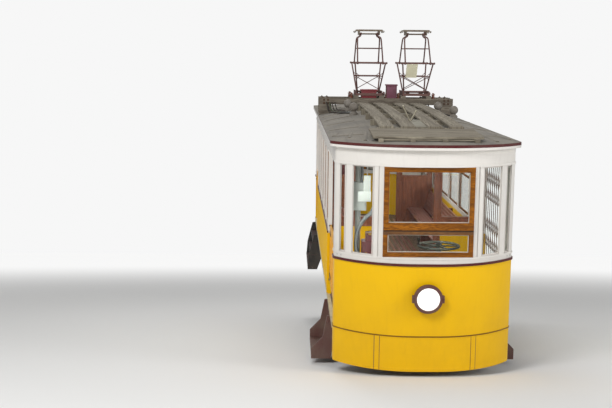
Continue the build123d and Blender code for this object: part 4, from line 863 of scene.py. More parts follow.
# %% Nails and bolts of the walkway, deck and bridge
nails, bolts = bmesh.new(), bmesh.new()
for middle in (-0.385, -0.135, 0.175, 0.425):
    for y in [-3.29 + k * 0.372 for k in range(12)]:
        for x in (middle - 0.055, middle + 0.055):
            stud(nails, (x, y, crown(y) + 0.062), UP, 0.007, 0.003)
for low, high in ((0.820, 0.910), (1.290, 1.380)):
    for x in (-0.99, -0.91, -0.55, 0.30, 0.60, 0.91, 0.99):
        turned(bolts, [(0, 20), (7, 18), (7, 8), (20, 7), (22, -2)], (x, (low + high) / 2, 2.369), None, 8)
for x in (-0.97, -0.91, 0.91, 0.97):
    for z in (2.29, 2.34):
        for y, way in ((0.820, -1), (1.380, 1)):
            turned(bolts, [(0, 12), (10, 10), (11, 3), (18, 2), (18, -2)], (x, y, z), (0, way, 0), 8)
build("walkway_nails", nails, "brake_iron")
build("bridge_bolts", bolts, "brake_iron", smooth=40)
print("nails and bolts on the roof")

# %% [markdown]
# The hatch board on its forked prop is faced with a sheet of old tin, folded over its edges and
# screwed down all round. It has gone a pale greenish grey. The two prongs of the prop are sleeved in a
# paler tin, and they are the lightest thing on the roof.

# %% Tin sheet on the hatch board
tin, sleeves, prop_y = bmesh.new(), bmesh.new(), -2.642
crowned_board(tin, (-0.0535, 0.0935), (-3.261, -2.503), 0.0522, 0.010)
for y in [-3.24 + k * 0.09 for k in range(9)]:
    for x in (-0.042, 0.082):
        stud(tin, (x, y, crown(y) + 0.0522), UP, 0.004, 0.002)
for prong in (Vector((-0.095, 0, 0.193)), Vector((0.068, 0, 0.136))):
    tall = prong.length * 1000
    turned(sleeves, [(8.5, 0), (10.5, 3), (10.5, tall - 12), (12.5, tall - 8), (12.5, tall + 2),
                     (0, tall + 6)], (-0.035, prop_y, crown(prop_y) + 0.043), prong, 12)
tin_dust = (98, 88, 74)
enamel("old_tin", (134, 130, 114), 0.55, (2.0, 3.0), 0.1, 0.5, 0.15, 0.3, tin_dust, coat=0.0)
enamel("pale_tin", (184, 178, 158), 0.5, (3, 4), 0.0, 0.3, 0.1, 0.2, tin_dust, coat=0.0)
build("hatch_tin", tin, "old_tin")
build("prop_sleeves", sleeves, "pale_tin", smooth=40)
print("tin on the hatch board and its forked prop")

# %% [markdown]
# The roof's thin edge is painted maroon, and the paint runs on over the top of the cornice as a band.
# It goes right round the plan, so it is one closed line, raised and thickened.

# %% Maroon band round the roof's edge
band, reach = bmesh.new(), roof_half - 0.0005
turns = [reach * math.sin(math.radians(3 * k)) for k in range(-30, 31)]
plan = [(x, end_skin(x, -0.0605)[0]) for x in turns]
plan += [(x, -y) for x, y in reversed(plan)]
line = [band.verts.new((x, y, 2.0675)) for x, y in plan]
edges = [band.edges.new(pair) for pair in zip(line, line[1:] + line[:1])]
lifted = bmesh.ops.extrude_edge_only(band, edges=edges)["geom"]
top = [part for part in lifted if isinstance(part, bmesh.types.BMVert)]
bmesh.ops.translate(band, vec=(0, 0, 0.0185), verts=top)
thicken(band, band.faces[:], 0.002,
        lambda faces: sum(face.normal.dot(face.calc_center_median()) for face in faces) > 0)
build("roof_edge_band", band, "line_maroon")
print("band round the roof's edge")

# %% [markdown]
# Two boxes stand on the bridge in front of the collectors: a low one with the main switch and a taller
# one with the lightning arrester. Each has a lid with a drip edge, a hinged front with a rim, and
# cable glands in its floor. The low one is painted a dull red, the taller one a plum brown.

# %% Covers of the two boxes on the bridge
def box_cover(name, x, y, z, paint):
    """The lid, rimmed front, screws and glands of a box between two ends on each axis."""
    shape, front = bmesh.new(), (y[0] - 0.006, y[0] + 0.002)
    block(shape, (x[0] - 0.010, x[1] + 0.010), (y[0] - 0.012, y[1] + 0.006), (z[1] - 0.014, z[1] + 0.006),
          0.003)
    rim(shape, (x[0] + 0.006, x[1] - 0.006), front, (z[0] + 0.004, z[1] - 0.020), 0.014, 0.002)
    block(shape, (x[0] + 0.018, x[1] - 0.018), (y[0] - 0.003, front[1]), (z[0] + 0.014, z[1] - 0.030), 0.001)
    for k in range(4):
        for screw_z in (z[0] + 0.011, z[1] - 0.027):
            stud(shape, (x[0] + 0.03 + k * (x[1] - x[0] - 0.06) / 3, front[0], screw_z), FRONT, 0.005, 0.003)
    for k in range(3):
        turned(shape, [(12, -28), (14, -26), (14, -12), (19, -10), (19, 2)],
               (x[0] + 0.04 + k * (x[1] - x[0] - 0.08) / 2, (y[0] + y[1]) / 2, z[0]), None, 10)
    build(name, shape, paint, smooth=40)


enamel("box_red", (124, 34, 44), 0.5, (3.0, 4.5), 0.1, 0.4, 0.2, dusty=(72, 44, 36), coat=0.1)
enamel("box_plum", (116, 62, 82), 0.5, (3.0, 4.5), 0.1, 0.35, 0.2, dusty=(70, 54, 48), coat=0.1)
box_cover("switch_box_cover", (-0.390, -0.150), (0.840, 0.965), (2.369, 2.499), "box_red")
box_cover("arrester_box_cover", (0.0, 0.165), (0.820, 0.965), (2.369, 2.579), "box_plum")
print("covers on both boxes")

# %% [markdown]
# Cables run from the bridge down to the roof in taped bundles. They are fixed wiring, screwed down in
# saddles on the roof: four at the left go to the ventilator beside them, and two at the right go to
# the other side's. Each follows a few control points on one smooth curve.

# %% Clipped cables by the bridge
def down_roof(points):
    """Control points on the roof, from their place in the plan and their height over its skin."""
    return [(x, y, roof_skin(x, y) + lift) for x, y, lift in points]


black, green = bmesh.new(), bmesh.new()
for k, (shift, bundle) in enumerate(((0.0, black), (0.045, green), (0.085, black), (0.13, black))):
    start = -0.93 + shift
    falling = [(start, 0.835, 2.300), (start, 0.800, 2.300), (-0.92 + shift, 0.770, 2.240)]
    tube(bundle, falling + down_roof([
        (-0.90 + shift, 0.745, 0.020), (-0.86 + shift, 0.55, 0.013), (-0.80 + shift * 0.9, 0.25, 0.013),
        (-0.76 + shift * 0.8, -0.10, 0.013), (-0.66 + shift * 0.6, -0.24, 0.013),
        (-0.600, -0.600 + 0.02 * k, 0.010),
    ]), 0.011 - 0.001 * k)
for x in (0.62, 0.66):
    falling = [(x, 0.85, 2.275), (x, 0.80, 2.275), (x, 0.775, 2.23)]
    tube(black, falling + down_roof([
        (x, 0.75, 0.020), (x, 0.55, 0.012), (x + 0.05, 0.20, 0.012), (x + 0.18, -0.02, 0.012),
        (0.90, -0.07 - (x - 0.62), 0.010),
    ]), 0.010)
for coat, paint in (("cable_black", (38, 35, 33)), ("cable_green", (70, 84, 62))):
    enamel(coat, paint, 0.6, (3, 4), 0.0, 0.5, 0.0, dusty=(88, 78, 66), coat=0.0)
build("roof_cables", black, "cable_black", smooth=60)
build("roof_cables_green", green, "cable_green", smooth=60)

saddles = bmesh.new()
for first_x, last_x, y in ((-0.885, -0.695, 0.55), (-0.825, -0.660, 0.25), (-0.785, -0.640, -0.10),
                           (0.595, 0.685, 0.55), (0.645, 0.735, 0.20)):
    rise = [(first_x - 0.02, y, 0.002), (first_x, y, 0.006), (first_x + 0.012, y, 0.026),
            (last_x - 0.012, y, 0.026), (last_x, y, 0.006), (last_x + 0.02, y, 0.002)]
    line = [saddles.verts.new((x, y - 0.011, z)) for x, y, z in down_roof(rise)]
    edges = [saddles.edges.new(pair) for pair in zip(line, line[1:])]
    widened = bmesh.ops.extrude_edge_only(saddles, edges=edges)["geom"]
    verts = [part for part in widened if isinstance(part, bmesh.types.BMVert)]
    bmesh.ops.translate(saddles, vec=(0, 0.022, 0), verts=verts)
bmesh.ops.recalc_face_normals(saddles, faces=saddles.faces)
bmesh.ops.solidify(saddles, geom=saddles.faces, thickness=0.003)
build("cable_saddles", saddles, "brake_iron")
print("six cables in five saddles on the roof")

# %% [markdown]
# Each current collector is a diamond of tube. The frame's upper arms run straight, but a real one
# turns in just below the head, in a rounded shoulder. So the upper arms are drawn again as bent tubes
# through a few control points, and take the place of the straight ones. First come the places of the
# pins, worked out from the arms' length and their angle at rest.

# %% Pins of the collectors
collector_xs = {"left": -0.270, "right": 0.465}
car_ends = {"uphill": -1, "downhill": 1}
bridge_y, pivot_y, pivot_z = 1.100, 0.080, 2.464
arm_length, rest_angle = 0.560, math.radians(53.5)
knee_y = pivot_y + arm_length * math.cos(rest_angle)
knee_z = pivot_z + arm_length * math.sin(rest_angle)
head_z = knee_z + arm_length * math.sin(rest_angle)
base_half, knee_half, upper_half, head_half = 0.170, 0.235, 0.195, 0.130
stands = {side: cabin @ Matrix.Translation((x, bridge_y, 0)) for side, x in collector_xs.items()}
print("knees at", round(knee_z, 3), "heads at", round(head_z, 3))

# %% Upper arms with rounded shoulders
shoulder = ((0, 0.195), (0.40, 0.191), (0.76, 0.186), (0.865, 0.181), (0.905, 0.150), (0.935, 0.131),
            (1, 0.130))
for side, here in stands.items():
    for end, way in car_ends.items():
        low, high = Vector((0, way * knee_y, knee_z)), Vector((0, way * pivot_y, head_z))
        arm = bmesh.new()
        for hand in (-1, 1):
            bend = [low.lerp(high, t) + Vector((hand * half, 0, 0)) for t, half in shoulder]
            tube(arm, bend, 0.011, rounds=3)
            for centre, half, pin in ((low, upper_half, 12), (high, head_half, 10)):
                boss = [(pin + 0.5, -15), (pin + 7, -15), (pin + 9, -11), (pin + 9, 11), (pin + 7, 15),
                        (pin + 0.5, 15), (pin + 0.5, -15)]
                turned(arm, boss, centre + Vector((hand * half, 0, 0)), OUT, 16)
        middle = low.lerp(high, 0.5)
        tube(arm, [middle + Vector((hand * 0.190, 0, 0)) for hand in (-1, 1)], 0.008, 2)
        shown = build("upper_arm_%s_%s" % (side, end), arm, "collector_brown",
                      body="collector_%s_upper_%s" % (side, end), place=here, smooth=40)
        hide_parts("collector_%s_upper_%s" % (side, end))
print("four upper arms with shoulders")

# %% [markdown]
# The lower arms keep their frame tubes. They get the round knobs on the ends of the knee bar, a pair
# of thin crossed stays, and gussets at the brace. The left uphill arm has no stays, because it folds
# down over the switch box. The right one carries a blank cream plate on its uphill side.

# %% Knobs, stays and the blank plate on the lower arms
for side, here in stands.items():
    for end, way in car_ends.items():
        low, high = Vector((0, way * pivot_y, pivot_z)), Vector((0, way * knee_y, knee_z))
        arm = bmesh.new()
        for hand in (-1, 1):
            turned(arm, [(0, 22), (10, 20), (17, 12), (18, 4), (12, -4), (11.5, -14)],
                   high + Vector((hand * (knee_half + 0.010), 0, 0)), (hand, 0, 0), 14)
            brace = low.lerp(high, 0.55) + Vector((hand * (base_half + 0.55 * (knee_half - base_half)), 0, 0))
            for reach in (0.12, -0.12):
                other = brace + (high - low) * reach + Vector((hand * 0.065 * reach, 0, 0))
                tube(arm, [brace + Vector((-hand * 0.055, 0, 0)), other], 0.0045, 2)
            start = low.lerp(high, 0.09) + Vector((hand * (base_half + 0.003), 0.006 * hand, 0))
            across_arm = low.lerp(high, 0.53) + Vector((-hand * 0.190, 0.006 * hand, 0))
            if (side, end) != ("left", "uphill"):
                tube(arm, [start, across_arm], 0.006, 2, 1)
        build("lower_arm_fittings_%s_%s" % (side, end), arm, "collector_brown",
              body="collector_%s_lower_%s" % (side, end), place=here, smooth=40)

along_arm = Vector((0, -(knee_y - pivot_y), knee_z - pivot_z)).normalized()
out_of_arm = Vector((0, -along_arm.z, along_arm.y))
knee = Vector((0, -knee_y, knee_z))
frame_of_arm = Matrix((Vector(OUT), along_arm, out_of_arm)).transposed().to_4x4()
hung = Matrix.Translation(knee + out_of_arm * 0.016) @ frame_of_arm
plate, clips = bmesh.new(), bmesh.new()
block(plate, (-0.173, -0.001), (-0.262, -0.004), (0, 0.0022), 0.0006, place=hung)
for x in (-0.160, -0.014):
    for y in (-0.016, -0.250):
        stud(plate, hung @ Vector((x, y, 0.0022)), out_of_arm, 0.005, 0.002)
for x in (-0.140, -0.034):
    turned(clips, [(12.2, -10), (16.5, -10), (16.5, 10), (12.2, 10)], knee + Vector((x, 0, 0)), OUT, 16)
enamel("plate_cream", (240, 236, 206), 0.45, (3, 4.5), 0.0, 0.12, 0.06, dusty=(160, 146, 120), coat=0.1)
build("blank_plate", plate, "plate_cream", body="collector_right_lower_uphill", place=stands["right"])
build("plate_clips", clips, "collector_brown", body="collector_right_lower_uphill", place=stands["right"],
      smooth=40)
print("lower arms finished, plate hung")

# %% [markdown]
# The head carries two carbon strips in channels, worn bright and grey, with rust gathering in clouds
# between the worn places. Small springs under the strips press them up. A coil is a tube through
# points that go round a circle and climb, six to a turn.

# %% Strips, springs and end caps on the heads
def coiled(count, radius, climb):
    """Points of a coil: two on the circle, and one along its axis."""
    angles = [math.radians(60 * k) for k in range(count)]
    return [(radius * math.cos(a), radius * math.sin(a), climb * k) for k, a in enumerate(angles)]


enamel("strip_grey", (160, 156, 148), 0.35, (3, 4.5), 0.0, 0.4, 0.0, 0.5, rust, coat=0.0)
for side, here in stands.items():
    carbon, under = bmesh.new(), bmesh.new()
    for y in (-1.6 * pivot_y, 1.6 * pivot_y):
        block(carbon, (-0.198, 0.198), (y - 0.011, y + 0.011), (head_z + 0.057, head_z + 0.0652), 0.002)
        for hand in (-1, 1):
            turned(carbon, [(0, 17), (9, 15), (15.5, 7), (16.5, 0), (15.5, -7), (9, -13)],
                   (hand * 0.219, y, head_z + 0.034), (hand, 0, 0), 14)
            coil = [(hand * 0.155 + a, y + b, head_z + 0.020 + c) for a, b, c in coiled(20, 0.009, 0.0011)]
            tube(under, coil, 0.0022, 3, 1)
        for x in (-0.13, -0.04, 0.04, 0.13):
            stud(under, (x, y - 0.017, head_z + 0.053), FRONT, 0.006, 0.004)
    for name, shape, coat in (("head_strips", carbon, "strip_grey"),
                              ("head_springs", under, "collector_brown")):
        build("%s_%s" % (name, side), shape, coat, body="collector_%s_head" % side, place=here, smooth=40)
print("two heads finished")

# %% [markdown]
# On the bridge, each base stands beside four ribbed porcelain insulators. Two long springs lie between
# the base plates. Their pull lifts the arms. Both are turned or coiled shapes, and stay with the car.

# %% Insulators and base springs
plate_x, bridge_top = 0.200, 2.369
sheds = [(0, 86), (14, 86), (16, 78)]
for k in range(3):
    sheds += [(19, 74 - 22 * k), (31, 66 - 22 * k), (31, 63 - 22 * k), (18, 60 - 22 * k)]
sheds += [(22, 10), (28, 8), (28, 0), (0, 0)]
pots, springs = bmesh.new(), bmesh.new()
for x in collector_xs.values():
    for hand in (-1, 1):
        for y in (bridge_y - 0.235, bridge_y + 0.235):
            turned(pots, sheds, (x + hand * (plate_x + 0.073), y, bridge_top), None, 16)
        spring_at = x + hand * 0.105
        coil = [(spring_at + a, bridge_y - 0.150 + c, 2.445 + b) for a, b, c in coiled(116, 0.017, 0.0026)]
        tube(springs, coil, 0.0034, 3, 1)
        for way in (-1, 1):
            hook = ((0.262, 2.424), (0.225, 2.443), (0.150, 2.445))
            tube(springs, [(spring_at, bridge_y + way * reach, z) for reach, z in hook], 0.005, 3)
enamel("porcelain", (112, 62, 44), 0.18, (3, 4.5), 0.0, 0.3, 0.1, dusty=(104, 92, 78), coat=0.6)
build("insulators", pots, "porcelain", smooth=40)
build("base_springs", springs, "spring_steel", smooth=50)
print("insulators and springs on the bridge")

# %% [markdown]
# The running gear is riveted and bolted. Rows of rivets run along the truck's side channels and up the
# feet of the wedge frame's uprights, and gussets brace the taller uprights. The truck stands level in
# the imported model, so these fittings are placed in the model's own frame and need no lean.

# %% Rivets and gussets on the truck and wedge frame
model_frame = Matrix()
truck_outer, truck_low, truck_high = 0.660, 0.490, truck_top - 0.015
upright_ys = [-truck_half + 0.070] + [-1.300 + 0.800 * k for k in range(4)] + [truck_half - 0.070]
rivets, gussets = bmesh.new(), bmesh.new()
for y in [-2.12 + k * 0.08 for k in range(54)]:
    stud(rivets, (0.638, y, truck_low), (0, 0, -1), 0.009, 0.006)
    if min(abs(y - upright) for upright in upright_ys) > 0.06:
        stud(rivets, (0.638, y, truck_high), UP, 0.009, 0.006)
for y in upright_ys:
    wedge_top = floor_height + y * street_slope
    for dy in (-0.024, 0.024):
        for z in (truck_high + 0.040, truck_high + 0.090):
            if z < wedge_top - 0.23:
                stud(rivets, (truck_outer, y + dy, z), OUT, 0.010, 0.007)
    for way in (-1, 1):
        foot = y + way * 0.040
        room = truck_half - 0.01 - abs(foot + way * 0.09)
        if y == upright_ys[0] or room < 0 or wedge_top - 0.20 - truck_high < 0.14:
            continue
        corners = [(foot, truck_high), (foot + way * 0.085, truck_high), (foot, truck_high + 0.085)]
        plate = gussets.faces.new([gussets.verts.new((0.640, *corner)) for corner in corners])
        bmesh.ops.solidify(gussets, geom=[plate], thickness=0.010)
build("truck_rivets", rivets, "frame_black", SIDES, place=model_frame)
build("wedge_gussets", gussets, "frame_black", SIDES, place=model_frame)
print("rivets and gussets on the truck")

# %% [markdown]
# Each axle box has a round lid with four bolts and a filler plug. The leaf spring above it is bound by
# a buckle with two bolts, and pins with split ends hold its shackles. The lids are turned shapes, and
# the buckles are rounded blocks a little wider than the leaves.

# %% Axle box lids, spring buckles and shackle pins
lid_x, spring_x = 0.734, 0.625
lids, buckles = bmesh.new(), bmesh.new()
for y in (-axle_place, axle_place):
    turned(lids, [(0, 22), (20, 21), (24, 14), (46, 12), (54, 6), (58, 0)],
           (lid_x - 0.002, y, axle_height), OUT, 28)
    for angle in [math.radians(45 + 90 * k) for k in range(4)]:
        spot = (lid_x, y + 0.049 * math.cos(angle), axle_height + 0.049 * math.sin(angle))
        stud(lids, spot, OUT, 0.008, 0.014, 6, 1.0)
    turned(lids, [(0, 16), (10, 14), (10, 4), (16, 3), (16, -6)],
           (0.7185, y + 0.052, axle_height + 0.075), OUT, 10)
    block(buckles, (spring_x - 0.026, spring_x + 0.026), (y - 0.030, y + 0.030), (0.424, 0.484), 0.006)
    for z in (0.440, 0.468):
        stud(buckles, (spring_x + 0.026, y, z), OUT, 0.010, 0.008, 6, 1.0)
    for shackle in (-0.280, 0.280):
        turned(buckles, [(0, 34), (11, 32), (12, 24), (12, 18)], (spring_x, y + shackle, 0.478), OUT, 12)
build("axle_box_lids", lids, "box_iron", SIDES, place=model_frame, smooth=35)
build("spring_buckles", buckles, "box_iron", SIDES, place=model_frame, smooth=35)
print("four lids and four buckles")

# %% [markdown]
# The traction motors hang between the wheels. Cast ribs run round the case, and a bolted cover closes
# each of its ends.

# %% Ribs and bolts on the motors
motor_y, motor_z, motor_half = axle_place - 0.430, axle_height + 0.012, 0.290
ribs = bmesh.new()
for way in (-1, 1):
    y = way * motor_y
    for x in (-0.200, -0.070, 0.070, 0.200):
        turned(ribs, [(194, -14), (207, -12), (207, 12), (194, 14)], (x, y, motor_z), OUT, 40)
    for hand in (-1, 1):
        for angle in [math.radians(15 + 30 * k) for k in range(12)]:
            spot = (hand * motor_half, y + 0.165 * math.cos(angle), motor_z + 0.165 * math.sin(angle))
            stud(ribs, spot, (hand, 0, 0), 0.012, 0.012, 6, 1.0)
        turned(ribs, [(0, 16), (60, 14), (75, 6), (80, -2)],
               (hand * motor_half, y, motor_z), (hand, 0, 0), 28)
build("motor_ribs", ribs, "box_iron", place=model_frame, smooth=40)
print("ribs on both motors")

# %% [markdown]
# The step under each uphill doorway has a tread of ribbed iron. The ribs run along the tread, so that
# a wet sole finds a hold, and a round nosing finishes its outer edge. The downhill stair has the same
# ribs on its three treads.

# %% Tread ribs, nosings and step bolts
tread_ribs = bmesh.new()
for x in [1.012 + k * 0.022 for k in range(9)]:
    block(tread_ribs, (x, x + 0.007), (-3.112, -2.338), (-0.5615, -0.556), 0.001)
for y in (-3.150, -2.306):
    for x, z in ((1.03, -0.14), (1.06, -0.26), (1.10, -0.42), (1.18, -0.52)):
        stud(tread_ribs, (x, y, z), FRONT, 0.010, 0.005)
tube(tread_ribs, [(1.2125, -3.144, -0.579), (1.2125, -2.306, -0.579)], 0.012, 2)
for outer, top in ((1.085, -0.215), (1.125, -0.430), (1.170, -0.645)):
    for x in [outer - 0.016 - k * 0.022 for k in range(5)]:
        block(tread_ribs, (x - 0.003, x + 0.004), (2.304, 3.636), (top - 0.0015, top + 0.004), 0.001)
build("tread_ribs", tread_ribs, "step_maroon", SIDES, smooth=40)
print("ribs on all the treads")

# %% [markdown]
# Brake rods join the two brake beams through the middle of the truck, with a jaw at each end and a
# turnbuckle halfway. They are bent tubes and turned shapes in rusty iron.

# %% Brake rods
rods, rod_x, rod_top = bmesh.new(), 0.345, 0.442
beam_y = axle_place + 0.290 + 0.006 + 0.045 + 0.012 + 0.024
rod = [(beam_y - 0.015, axle_height), (beam_y - 0.06, axle_height + 0.01), (1.96, 0.400), (1.90, 0.435),
       (1.70, rod_top), (1.10, rod_top), (0, rod_top)]
for hand in (-1, 1):
    for way in (-1, 1):
        tube(rods, [(hand * rod_x, way * y, z) for y, z in rod], 0.013)
    turned(rods, [(13, -110), (24, -100), (27, -70), (27, 70), (24, 100), (13, 110)],
           (hand * rod_x, 0, rod_top), (0, 1, 0), 12)
build("brake_rods", rods, "brake_iron", place=model_frame, smooth=40)
print("brake rods")

# %% [markdown]
# Through the big front panes the saloon shows: slatted benches, a boarded ceiling, grab rails and a
# row of round lamps. The ceiling here is narrow varnished boards with a gap between each, carried on
# curved ribs. It is kept coarse, because it is seen through glass.

# %% Ceiling boards and ribs
timber("ceiling_wood", (150, 84, 50), (92, 44, 26), (36, 2.0, 36), 0.35, 0.35)
boards, ribs = bmesh.new(), bmesh.new()
for x in [-0.893 + k * 0.1116 for k in range(17)]:
    crowned_board(boards, (x - 0.053, x + 0.053), (-3.78, 3.78), -0.034, 0.010, 12, roof_skin)
for y in [-3.7 + k * 0.74 for k in range(11)]:
    for x in [-0.93 + j * 0.155 for j in range(12)]:
        crowned_board(ribs, (x, x + 0.155), (y - 0.019, y + 0.019), -0.046, 0.030, 1, roof_skin)
bmesh.ops.remove_doubles(ribs, verts=ribs.verts, dist=1e-5)
build("ceiling_boards", boards, "ceiling_wood")
build("ceiling_ribs", ribs, "bulkhead_wood")
print("seventeen ceiling boards on eleven ribs")

# %% [markdown]
# Brass grab rails run along both sides of the ceiling on turned brackets, with leather straps between
# them. Polished brass is bright where hands hold it and dull elsewhere, which the dust group's clouds
# give.

# %% Grab rails and straps
enamel("brass", (196, 152, 78), 0.22, (3, 6), 0.0, 0.5, 0.1, 0.9, (120, 84, 44), coat=0.0)
tree, skin = finish("strap_leather")
hide = object_place(tree)
tan = mixed(tree, noise(tree, hide, 14.0, 4.0), colour(70, 40, 26), colour(132, 86, 52))
pebble = node(tree, "TexVoronoi", [("Vector", hide), ("Scale", 260.0)]).outputs[0]
fill(tree, skin, [("Base Color", tan), ("Roughness", 0.5)])
raise_relief(tree, skin, pebble, 0.3, 0.002)
rails, straps = bmesh.new(), bmesh.new()
for x in (-0.42, 0.42):
    tube(rails, [(x, -2.16, 1.98), (x, 2.16, 1.98)], 0.014, 2, 3)
    for y in [-2.10 + k * 0.84 for k in range(6)]:
        turned(rails, [(20, 0), (22, 6), (10, 14), (10, 140), (26, 150), (30, 172)], (x, y, 1.99), None, 12)
    for y in [-1.86 + k * 0.413 for k in range(10)]:
        for low_y, high_y, low_z, high_z, bevel in (
            (-0.019, -0.016, 1.80, 1.975, 0.001), (0.016, 0.019, 1.80, 1.975, 0.001),
            (-0.019, 0.019, 1.790, 1.802, 0.004), (-0.019, 0.019, 1.993, 1.999, 0.002),
        ):
            block(straps, (x - 0.014, x + 0.014), (y + low_y, y + high_y), (low_z, high_z), bevel)
build("grab_rails", rails, "brass", smooth=40)
build("hand_straps", straps, "strap_leather", smooth=40)
print("rails and twenty straps")

# %% [markdown]
# The saloon's lamps are shallow milk-glass bowls in brass rings down the middle of the ceiling. They
# are lit on a night run, so the glass glows a little, too weakly to light the saloon by itself.

# %% Ceiling lamps
tree, skin = finish("milk_glass")
tone = mixed(tree, noise(tree, object_place(tree), 9.0, 3.0), colour(250, 236, 205), colour(255, 248, 230))
fill(tree, skin, [("Base Color", tone), ("Emission Color", tone), ("Emission Strength", 1.2),
                  ("Roughness", 0.15)])
bowls, rings = bmesh.new(), bmesh.new()
for y in (-3.3, -1.75, -0.58, 0.58, 1.75, 3.3):
    above = (0, y, crown(y) - 0.060)
    turned(bowls, [(80, -12), (74, -34), (50, -52), (20, -60), (0, -62)], above, None, 28)
    turned(rings, [(78, -6), (90, -20), (94, -10), (106, -4), (108, 4)], above, None, 28)
build("ceiling_lamps", bowls, "milk_glass", smooth=60)
build("ceiling_lamp_rings", rings, "brass", smooth=40)
print("six ceiling lamps")

# %% [markdown]
# On each platform the controller stands at one side and the brake wheel at the other. The controller
# has a dial plate with a notched brass rim and a handle with a turned grip, and a ribbed conduit
# climbs from it to the roof. The conduit is one smooth tube through a few points, and its ribs are
# relief in its finish from a sine of the height, with light bands on the crests and dark bands in the
# grooves as painted highlight and shade.

# %% Controller dial, handle and conduit
fitted, conduit = bmesh.new(), bmesh.new()
dial_x, dial_y, dial_z = -0.565, -3.915, 1.090
turned(fitted, [(88, -90), (92, -84), (92, -70), (86, -64)], (dial_x, dial_y, dial_z + 0.070), None, 32)
turned(fitted, [(0, 52), (16, 50), (20, 44), (20, 26), (30, 24), (32, 0)], (dial_x, dial_y, dial_z), None, 16)
turned(fitted, [(0, 98), (12, 95), (18, 84), (16, 66), (11, 46), (15, 36), (10, 24)],
       (dial_x + 0.130, dial_y, dial_z), None, 16)
for angle in [math.radians(-20 + 20 * k) for k in range(13)]:
    notch = (dial_x + 0.076 * math.cos(angle), dial_y + 0.076 * math.sin(angle), dial_z - 0.002)
    stud(fitted, notch, UP, 0.004, 0.003)
for z in (0.12, 0.88):
    for x in (-0.655, -0.475):
        stud(fitted, (x, -4.025, z), FRONT, 0.010, 0.006)
build("controller_brass", fitted, "brass", ENDS, smooth=40)

climb = ((-0.565, 2.12), (-0.565, 1.75), (-0.550, 1.42), (-0.590, 1.31), (-0.655, 1.265),
         (-0.725, 1.175), (-0.756, 1.06), (-0.764, 0.93), (-0.735, 0.845), (-0.690, 0.830))
tube(conduit, [(x, -3.93, z) for x, z in climb], 0.023, 3, 4)
turned(conduit, [(24, 30), (34, 26), (36, 4), (44, 0)], (-0.700, -3.93, 0.830), (-1, 0, 0), 16)
tube(conduit, [(-0.700, -3.86, 1.64), (-0.700, -3.86, 1.80), (-0.690, -3.90, 1.95), (-0.640, -3.95, 2.06),
               (-0.60, -4.00, 2.11)], 0.015)
tree, skin = finish("ribbed_hose")
rib_spacing = 0.012
turns = reckon(tree, "SINE", reckon(tree, "MULTIPLY", axis(tree, "Z"), 2 * math.pi / rib_spacing))
hose_rib = spread(tree, turns, -1.0, 1.0)
# The rib crests are painted light and the grooves dark, as painted highlight and shade.
grey = mixed(tree, hose_rib, colour(96, 96, 98), colour(176, 176, 176))
fill(tree, skin, [("Base Color", grey), ("Metallic", 0.6), ("Roughness", 0.4)])
raise_relief(tree, skin, hose_rib, 0.8, 0.004)
build("conduits", conduit, "ribbed_hose", ENDS, smooth=60)
print("controller and conduits")

# %% [markdown]
# The brake wheel is plain iron with a knob on its rim and a ratchet plate at the foot of its column.
# Its pawl is a small bent lever, worked by foot. Both are dark and worn.

# %% Brake wheel knob and ratchet
brake_x, brake_y, brake_z, brake_radius = 0.170, -3.840, 0.930, 0.225
ratchet = bmesh.new()
turned(ratchet, [(0, 95), (13, 92), (18, 78), (15, 50), (11, 30), (16, 18), (13, 6)],
       (brake_x - brake_radius, brake_y, brake_z), None, 16)
turned(ratchet, [(0, 34), (18, 30), (22, 20), (30, 18), (32, 10)],
       (brake_x, brake_y, brake_z + 0.010), None, 12)
teeth = bmesh.ops.create_cone(ratchet, cap_ends=True, segments=32, radius1=0.125, radius2=0.120, depth=0.016,
                              matrix=Matrix.Translation((brake_x, brake_y, 0.033)))["verts"]
for k, vert in enumerate(sorted(teeth, key=lambda v: math.atan2(v.co.y - brake_y, v.co.x - brake_x))):
    if k // 2 % 2:
        vert.co.x = brake_x + (vert.co.x - brake_x) * 0.90
        vert.co.y = brake_y + (vert.co.y - brake_y) * 0.90
pawl = ((0.19, 0.03, 0.0), (0.19, 0.03, 0.060), (0.17, 0.02, 0.075), (0.115, 0, 0.045))
tube(ratchet, [(brake_x + x, brake_y + y, z) for x, y, z in pawl], 0.010, 3)
build("brake_wheel_fittings", ratchet, "box_iron", ENDS, smooth=40)
print("brake wheels fitted")

# %% [markdown]
# The bulkheads between platform and saloon are panelled. Raised mouldings frame the lower panels, a
# bead runs round each light, and the doorway has a rounded architrave. Blocks with bevelled edges do
# for all of these, mirrored to the other side and end.

# %% Bulkhead mouldings
trim, panels = bmesh.new(), bmesh.new()
for faces_y in ((-2.250, -2.240), (-2.200, -2.190)):
    rim(trim, (0.422, 0.878), faces_y, (0.982, 1.718), 0.016, 0.004)
    rim(trim, (0.412, 0.888), faces_y, (0.102, 0.888), 0.016, 0.004)
    block(trim, (0.342, 0.378), faces_y, (0, 1.876), 0.004)
    block(trim, (0, 0.342), faces_y, (1.842, 1.876), 0.004)
block(panels, (0.429, 0.871), (-2.2445, -2.238), (0.118, 0.872), 0.001)
for x in [0.465 + k * 0.074 for k in range(6)]:
    block(panels, (x - 0.004, x + 0.004), (-2.248, -2.244), (0.126, 0.864), 0.001)
build("bulkhead_mouldings", trim, "bulkhead_wood", BOTH)
build("bulkhead_panels", panels, "body_yellow", BOTH)
print("mouldings and panels on both bulkheads")

# %% [markdown]
# Daylight hardly reaches the saloon, because the roof lamp can't shine through. A faint lamp under the
# ceiling and one over each platform lift the benches and the floor, and the camera doesn't see them.

# %% Faint lamps inside
for name, along, power in (("saloon_lamp", 0.0, 26), ("uphill_lamp", -3.2, 9), ("downhill_lamp", 3.2, 9)):
    inside = soft_lamp(name, cabin @ Vector((0, along, 1.93)), cabin @ Vector((0, along, 0)), 1.1, power)
    inside.visible_camera = False
print("three faint lamps inside")

